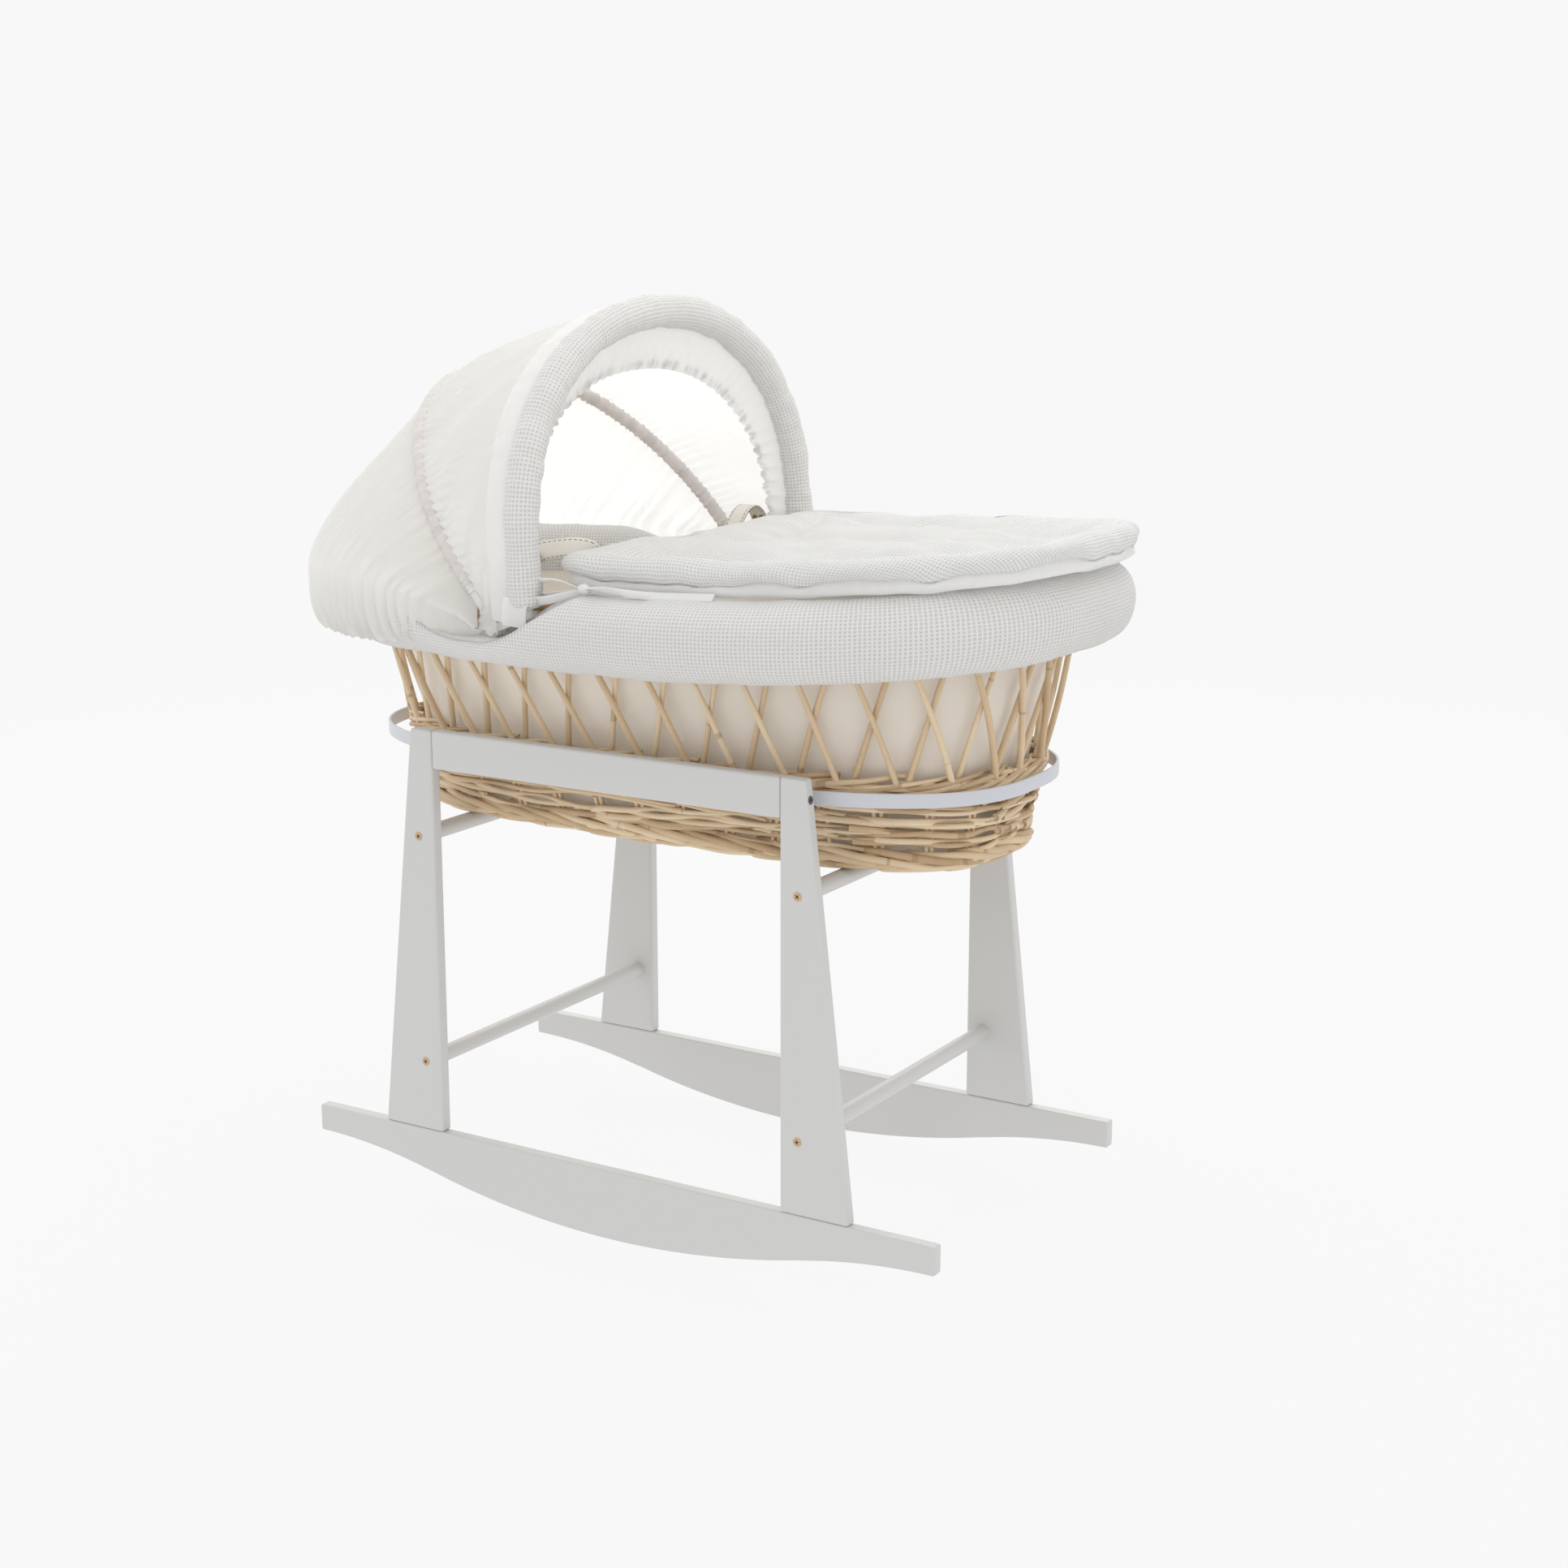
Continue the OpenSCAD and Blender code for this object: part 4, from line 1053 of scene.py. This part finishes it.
def top_panel():
    O, S = arch_frame(FRONT, FRONT_SIDE)
    front = to_clip((FRONT + O * 4.5 - S * 38.0)[2:-2], (-86, 266, 660))
    rear = rear_edge(4.0, (-112, 264, 662))
    s = np.linspace(0, 1, NS)
    nrow = 30
    P = np.zeros((NS, nrow, 3))
    run = s * 900.0
    warp = run + 7 * ripple(run, 45.0, 5.0)
    for j in range(nrow):
        t = j / (nrow - 1)
        q = mix(front, rear, t)
        mid = sin(pi * t)
        rearward = t ** 2.2
        pleat = np.cos(TAU * warp / 11.0) * 1.7 * rearward * (0.5 + 0.5 * ripple(run, 60, 9.0) + 0.3)
        folds = (6.0 * ripple(run + 70 * t, 85.0, t * 1.1, 2.0)
                 + 2.4 * ripple(run + 60 * t, 24.0, t * 1.3, 6.0)
                 + 5.0 * crease(run + 90 * t, 46.0, t * 0.8, 12.0) - 3.0)
        seam = np.cos(TAU * warp / 21.0) * 1.1 * exp(-t * 8)
        calm = np.clip(np.minimum(s, 1 - s) / 0.06, 0.15, 1)
        P[:, j] = billow(q, mid * (2.0 + 1.7 * folds) * calm + 1.5 * pleat + seam)
    o = surface("hood_top_cloth", P * MM, HOOD_CLOTH, "hood_rear", replaces=["hood_top_panel"],
                slot="waffle_cloth", flip=True, ride=False)
    t = np.linspace(0, 1, nrow)[None, :] * np.ones((NS, 1))
    set_blend(o)


top_panel()


def back_panel():
    rear = rear_edge(-4.0, (-114, 263, 663))

    def ring(extra_a, extra_b, z, x_end=-112.0, lift=0.0):
        A, B = ROLL_A + ROLL_R + extra_a, ROLL_B + ROLL_R + extra_b
        th = np.linspace(0, pi, 2000)
        p = oval(A, B, ROLL_N, th)
        k = np.argmin(np.abs(p[:, 0] + BX - x_end))
        th0 = th[k]
        th = np.linspace(TAU - th0, th0, 1500)
        p = oval(A, B, ROLL_N, th)
        q = np.stack([p[:, 0] + BX, p[:, 1], z + 0 * th], -1)
        q = resample(q, NS)
        e = np.abs(np.linspace(-1, 1, NS))
        q[:, 2] += lift * e ** 5
        q[:, 1] *= 1 - 0.085 * e ** 9
        return q

    s = np.linspace(0, 1, NS)
    run = s * 1100.0
    warp = run + 9 * ripple(run, 50.0, 1.0) + 3 * ripple(run, 17.0, 4.0)
    keys = [rear, None, None, ring(9, 4, 712, -114, -46), ring(13, 5, 688, -112, -24),
            ring(10, 4, 662, -109, 1), ring(2, 0, 642, -106, 19), ring(-6, -5, 634, -104, 25)]
    keys[1] = billow(mix(rear, keys[3], 0.34), np.full(NS, 7.0))
    keys[2] = billow(mix(rear, keys[3], 0.70), np.full(NS, 9.0))
    ts = np.array([0, 0.24, 0.5, 0.72, 0.82, 0.91, 0.97, 1.0])
    K = np.stack(keys, 0)
    nrow = 44
    P = np.zeros((NS, nrow, 3))
    # a smooth curve through the keys, column by column
    tt = np.linspace(0, 1, nrow)
    from_keys = np.zeros((nrow, NS, 3))
    for i, t in enumerate(tt):
        k = min(max(np.searchsorted(ts, t, side="right") - 1, 0), len(ts) - 2)
        h = ts[k + 1] - ts[k]
        u = (t - ts[k]) / h
        m0 = (K[k + 1] - K[max(k - 1, 0)]) / (ts[k + 1] - ts[max(k - 1, 0)]) * h
        m1 = (K[min(k + 2, len(ts) - 1)] - K[k]) / (ts[min(k + 2, len(ts) - 1)] - ts[k]) * h
        from_keys[i] = ((2 * u ** 3 - 3 * u ** 2 + 1) * K[k] + (u ** 3 - 2 * u ** 2 + u) * m0
                        + (-2 * u ** 3 + 3 * u ** 2) * K[k + 1] + (u ** 3 - u ** 2) * m1)
    amp_r = 0.7 + 0.6 * ripple(run, 70.0, 7.0)
    quiet = np.clip(np.minimum(s, 1 - s) / 0.10, 0.25, 1)
    for j, t in enumerate(tt):
        q = from_keys[j]
        a = 1.9 * exp(-t * 7) + 2.6 * smooth(np.array([(t - 0.2) / 0.5]))[0] * (0.6 + 0.4 * t)
        main = 2.0 * np.abs(np.cos(pi * warp / 19.0)) ** 2.4 - 0.8
        sub = ripple(run, 6.0, t * 1.5, 11.0)
        gather = 1.6 * np.cos(TAU * warp / 5.2) * exp(-((1 - t) / 0.07) ** 2)
        long_ = 4.0 * ripple(run, 60.0, t * 1.2, 2.0) + 4.0 * crease(run, 44.0, t * 0.7, 9.0) - 2.0
        long_ *= sin(pi * min(1, t * 1.1))
        P[:, j] = billow(q, (1.8 * a * main * amp_r + sub + gather + 1.3 * long_) * quiet - 1.0,
                         centre=(-190, 0, 700.0))
    P[..., 0] = np.maximum(P[..., 0], -478)
    o = surface("hood_back_cloth", P * MM, HOOD_CLOTH, "hood_rear", replaces=["hood_back_panel"],
                slot="waffle_cloth", ride=False)
    w = smooth(1 - tt / 0.72)[None, :] * np.ones((NS, 1))
    set_blend(o)


back_panel()


def hood_tab(side, sy):
    """The plain end of the hoop's channel, below the roll."""
    path = spline([(x, sy * y, z) for x, y, z in ((-52, 279, 700), (-52, 281, 692), (-54, 280, 682),
                                                  (-56, 277, 671))], 24)
    o = ribbon(f"hood_tab_{side}", path, np.tile([1.0, 0, -0.05], (24, 1)), 30.0, PLAIN, "hood_front",
               thick=2.4)
    say_tape(path)


for side, sy in SIDES:
    hood_tab(side, sy)

for part in ("hood_clip", "rear_arm", "front_arm"):
    for side, _ in SIDES:
        repaint(f"{part}_{side}", PLASTIC)

# ---------------------------------------------------------------- coverlet


def coverlet():
    nu = 420
    # outline: a straight head edge, sides along the basket, round foot end
    x0, cx = -24.0, 210.0

    def half(x):
        return 246 * np.clip(1 - np.abs((x - BX) / 462) ** 2.9, 0, 1) ** (1 / 2.9)

    xs = np.concatenate([np.linspace(x0 + 22, 452, 260),
                         452 + 16 * (1 - np.cos(np.linspace(0, pi / 2, 40)[1:]))])
    xs = np.clip(xs, None, 469.0)
    edge = np.stack([xs, -half(xs)], -1)
    corner = [(x0 + 22 - 22 * sin(a), -half(x0) + 22 - 22 * cos(a))
              for a in np.linspace(pi / 2, 0.05, 12)]
    near = np.vstack([np.array([[x0, 0.0]]), np.array(corner), edge, [[469.5, 0.0]]])
    far = near[::-1].copy()
    far[:, 1] *= -1
    loop = np.vstack([near, far[1:-1]])
    L = lengths(np.vstack([loop, loop[:1]]))
    t = np.linspace(0, L[-1], nu + 1)[:-1]
    full = np.vstack([loop, loop[:1]])
    out = np.stack([np.interp(t, L, full[:, i]) for i in range(2)], -1)
    c = np.array([cx, 0.0])
    P = []

    def level(x):
        return 710.5 + 24.0 * np.clip(x / 440.0, 0, 1.1) ** 2

    D = norm(out - c, axis=1)
    ruff = 1.5 * ripple(t, 30.0, 0.5, 1.0) + 1.2 * ripple(t, 75.0, 4.5, 1.0)
    ruff2 = ripple(t, 9.0, 3.5, 1.0)
    puff = ripple(t, 70.0, 8.5, 2.0)

    flats = []

    def ring(inset, z, flat=None):
        q = c + (out - c) * np.clip(1 - inset / D, 0.001, None)[:, None]
        P.append(np.column_stack([q, level(q[:, 0]) + z]))
        flats.append(q if flat is None else c + (out - c) * (1 - flat / D)[:, None])
        return q

    # underside, plain side and puffed waffle top, from middle to middle
    for inset in (D, D * 0.7, D * 0.4, D * 0.15):
        ring(inset, 0.5)
    ring(7.0 - 2.0 * ruff, -1.0 + 1.5 * ruff)
    ring(3.0 - 1.6 * ruff2, 3.0 + 1.0 * ruff)
    ring(3.5 - 1.8 * ruff2, 8.0 + 2.6 * ruff)
    ring(5.0 - 1.0 * ruff2, 12.0 + 3.6 * ruff)
    plain_rows = len(P) - 1
    for a in np.radians(np.linspace(-42, 90, 10)):
        ring(18.0 * (1 - cos(a)) - 3.0 * ruff - 2.0,
             20.5 + (13.0 + 5.0 * puff) * sin(a) + 2.2 * ruff * (1 - sin(a)),
             flat=16.0 - 17.0 * (pi / 2 - a))
    crown = 33.5 + 5.0 * puff
    for k in range(1, 30):
        inset = 16.0 + (D - 16.0) * (k / 29.0) ** 1.25
        deep = smooth((inset - 16.0) / 60.0)
        dip = 14.0 * np.exp(-((inset - 78.0) / 34.0) ** 2)
        q = ring(inset, 0.0)
        bumps = np.array([9.0 * n3(x / 95.0, y / 70.0, 3.0) + 5.0 * n3(x / 40.0, y / 34.0, 7.0)
                          for x, y in q])
        fold = np.array([-7.0 * exp(-((y + 30 * n3(x / 150.0, 6.0)) / 26.0) ** 2) for x, y in q])
        P[-1][:, 2] += mix(crown, 33.0, deep) - dip + (bumps + fold) * smooth((inset - 10.0) / 45.0)
    P = np.stack(P, 1)
    # texture laid flat over the top
    flat = np.stack(flats, 1) * MM
    F = grid_faces(P.shape[0], P.shape[1], True, False)
    face_mats = [1 if (f[0] % P.shape[1]) < plain_rows else 0 for f in F]
    loops = flat.reshape(-1, 2)[F].reshape(-1, 2)
    o = finish_mesh("coverlet_quilt", P.reshape(-1, 3) * MM, F, [WAFFLE, PLAIN], "coverlet",
                    replaces=["coverlet"], slot="waffle_cloth", uv={"loops": loops}, face_mats=face_mats)


coverlet()

# ---------------------------------------------------------------- handles, bows, binding


def handle(side, sy):
    if side == "near":
        pts = [(-86, -236, 700), (-87, -234, 714), (-86, -227, 727), (-80, -214, 737), (-66, -200, 741),
               (-52, -189, 742), (-40, -176, 738), (-31, -162, 724), (-19, -153, 707), (0, -150, 698),
               (30, -149, 696), (54, -153, 698), (74, -168, 702), (83, -195, 706)]
    else:
        pts = [(-86, -236, 700), (-87, -234, 716), (-88, -226, 735), (-90, -212, 745), (-92, -197, 741),
               (-94, -182, 722), (-92, -168, 700), (-78, -156, 690), (-50, -150, 690), (0, -148, 692),
               (45, -149, 694), (68, -156, 698), (80, -172, 703), (84, -195, 706)]
    pts += [(85, -215, 706), (86, -236, 706)]
    path = spline(pts, 150) * [1, -sy, 1] + [BX, 0, 0]
    T = tangents(path)
    # the strap's width lies along X over the fold and turns level along the inside
    W = np.zeros_like(path)
    for i in range(150):
        along = smooth(np.array([(abs(T[i][0]) - 0.25) / 0.5]))[0]
        ahead = -1.0 if path[i][0] > BX + 40 else 1.0
        w = mix(np.array([ahead, 0, 0]), np.array([0, sy * -0.55, 0.83]), along)
        w = w - (w @ T[i]) * T[i]
        W[i] = w / norm(w)
    ribbon(f"handle_{side}_strap", path, W, 22.0, STRAP, f"handle_{side}", thick=3.0,
           node=[f"handle_{side}"], slot_name="leather")
    studs = Rods()
    for i, dx in ((8, 0), (15, -4), (15, 5)):
        N = np.cross(T[i], W[i])
        for sgn in (1, -1):
            c = path[i] + W[i] * dx
            studs.add(np.array([c + N * sgn * 1.2, c + N * sgn * 2.2, c + N * sgn * 3.0]) * MM,
                      np.array([3.8, 3.6, 1.8]) * MM, k=20, tone=0.5)
    studs.build(f"handle_{side}_caps", RIVET, f"handle_{side}", replaces=[f"handle_rivets_{side}"],
                slot="rivets")


for side, sy in SIDES:
    handle(side, sy)


def slit_binding(side, sy):
    """The bound edge of the slit, on the outer side of the rim rods."""
    pts = []
    for x, z, p in ((-66, 664, 2), (-44, 676, 3), (-15, 692, 4), (20, 703, 4), (60, 708.5, 3),
                    (110, 710, 2), (165, 712, 0)):
        u = x - BX
        y = ROLL_B * (1 - abs(u / ROLL_A) ** ROLL_N) ** (1 / ROLL_N)
        pts.append((x, sy * (y + p + 2.5), z + 1.5))
    path = spline(pts, 90)
    W = np.zeros_like(path) + [0, sy * 0.80, -0.6]
    T = tangents(path)
    W = W - (W * T).sum(1, keepdims=True) * T
    o = ribbon(f"slit_binding_{side}", path, W, 11.0, PLAIN, "basket", thick=1.6)
    say_tape(path)


for side, sy in SIDES:
    slit_binding(side, sy)


def bow(side, sy):
    loops = [
        [(22, 263, 712), (6, 265, 717), (-12, 264, 720), (-30, 262, 718), (-38, 261, 711), (-30, 262, 705),
         (-12, 264, 707), (6, 264, 710), (22, 263, 712)],
        [(22, 263, 712), (36, 265, 715), (52, 263, 716), (64, 259, 714), (66, 257, 710), (52, 259, 708),
         (36, 262, 710), (22, 263, 712)],
        [(22, 263, 712), (44, 265, 714), (70, 264, 713), (98, 261, 711)],
        [(22, 263, 712), (2, 268, 706), (-20, 270, 700), (-38, 270, 697)],
    ]
    for i, pts in enumerate(loops):
        path = spline(np.array(pts) * [1, sy, 1], 60)
        T = tangents(path)
        base = np.array([0, sy * 0.55, 0.83]) if i >= 2 else np.array([0, sy * 0.94, 0.35])
        W = base - (T @ base)[:, None] * T
        if i < 2:
            width = 12.0 * (0.55 + 0.45 * np.clip(np.sin(np.linspace(0.1, pi - 0.1, 60)) * 1.6, 0, 1))
        else:
            width = 12.0 * (0.6 + 0.4 * np.linspace(0, 1, 60))
        o = ribbon(f"tie_{side}_part{i}", path, W, width, PLAIN, "basket", thick=0.9)
        say_tape(path)
    knot = Rods()
    knot.add(np.array([(16, 263, 711), (19, 264, 713), (22, 264.3, 713.6), (25, 264, 713),
                       (28, 263, 711)]) * [1, sy, 1] * MM,
             np.array([2.5, 4.6, 5.2, 4.6, 2.5]) * MM, k=14, tone=0.5)
    knot.build(f"tie_{side}_knot", PLAIN, "basket", replaces=[f"tie_{side}"], slot="binding_cloth")


for side, sy in SIDES:
    bow(side, sy)

# ---------------------------------------------------------------- studio


def plane(name, size, z, mat):
    me = bpy.data.meshes.new(name)
    h = size / 2
    me.from_pydata([(-h, -h, z), (h, -h, z), (h, h, z), (-h, h, z)], [], [(0, 1, 2, 3)])
    me.materials.append(mat)
    return put(name, me)


floor_mat = material("floor", (0.5, 0.5, 0.5), rough=1.0, specular=0.0)
tree = Tree(floor_mat)
tree.over(tree.add("ShaderNodeEmission", Color=(0.974, 0.974, 0.974, 1), Strength=1.0), 0.93)
floor = plane("floor", 300.0, -0.0005, floor_mat)

world = bpy.data.worlds.new("studio")
bpy.context.scene.world = world
world.use_nodes = True
world.node_tree.nodes["Background"].inputs["Color"].default_value = (0.939, 0.939, 0.939, 1)
world.node_tree.nodes["Background"].inputs["Strength"].default_value = 1.0


def aim(o, pos, direction):
    o.location = pos
    o.rotation_mode = "QUATERNION"
    o.rotation_quaternion = direction.to_track_quat("-Z", "Y")


def area_light(name, pos, target, size, watts):
    d = bpy.data.lights.new(name, "AREA")
    d.shape = "RECTANGLE"
    d.size, d.size_y = size
    d.energy = watts
    aim(put(name, d), pos, Vector(target) - Vector(pos))


area_light("back_key", (-0.9, 2.6, 2.2), (0, 0, 0.75), (2.4, 1.8), 30)
area_light("left_rim", (-2.6, 0.2, 1.6), (0, 0, 0.7), (1.4, 1.8), 14)
area_light("top_soft", (0.4, 0.2, 2.8), (0, 0, 0.6), (2.0, 2.0), 12)

CAM_AZ, CAM_EL, CAM_AT = radians(31.358), radians(12.698), (1.4837, -2.2798, 1.0739)
cam_data = bpy.data.cameras.new("camera")
cam_data.lens = 57.70
cam_data.sensor_width = 36.0
cam_data.clip_end = 400
cam = put("camera", cam_data)
aim(cam, CAM_AT, Vector((-sin(CAM_AZ) * cos(CAM_EL), cos(CAM_AZ) * cos(CAM_EL),
                         -sin(CAM_EL))))
bpy.context.scene.camera = cam
bpy.context.scene.view_settings.view_transform = "Standard"
bpy.context.scene.view_settings.look = "None"
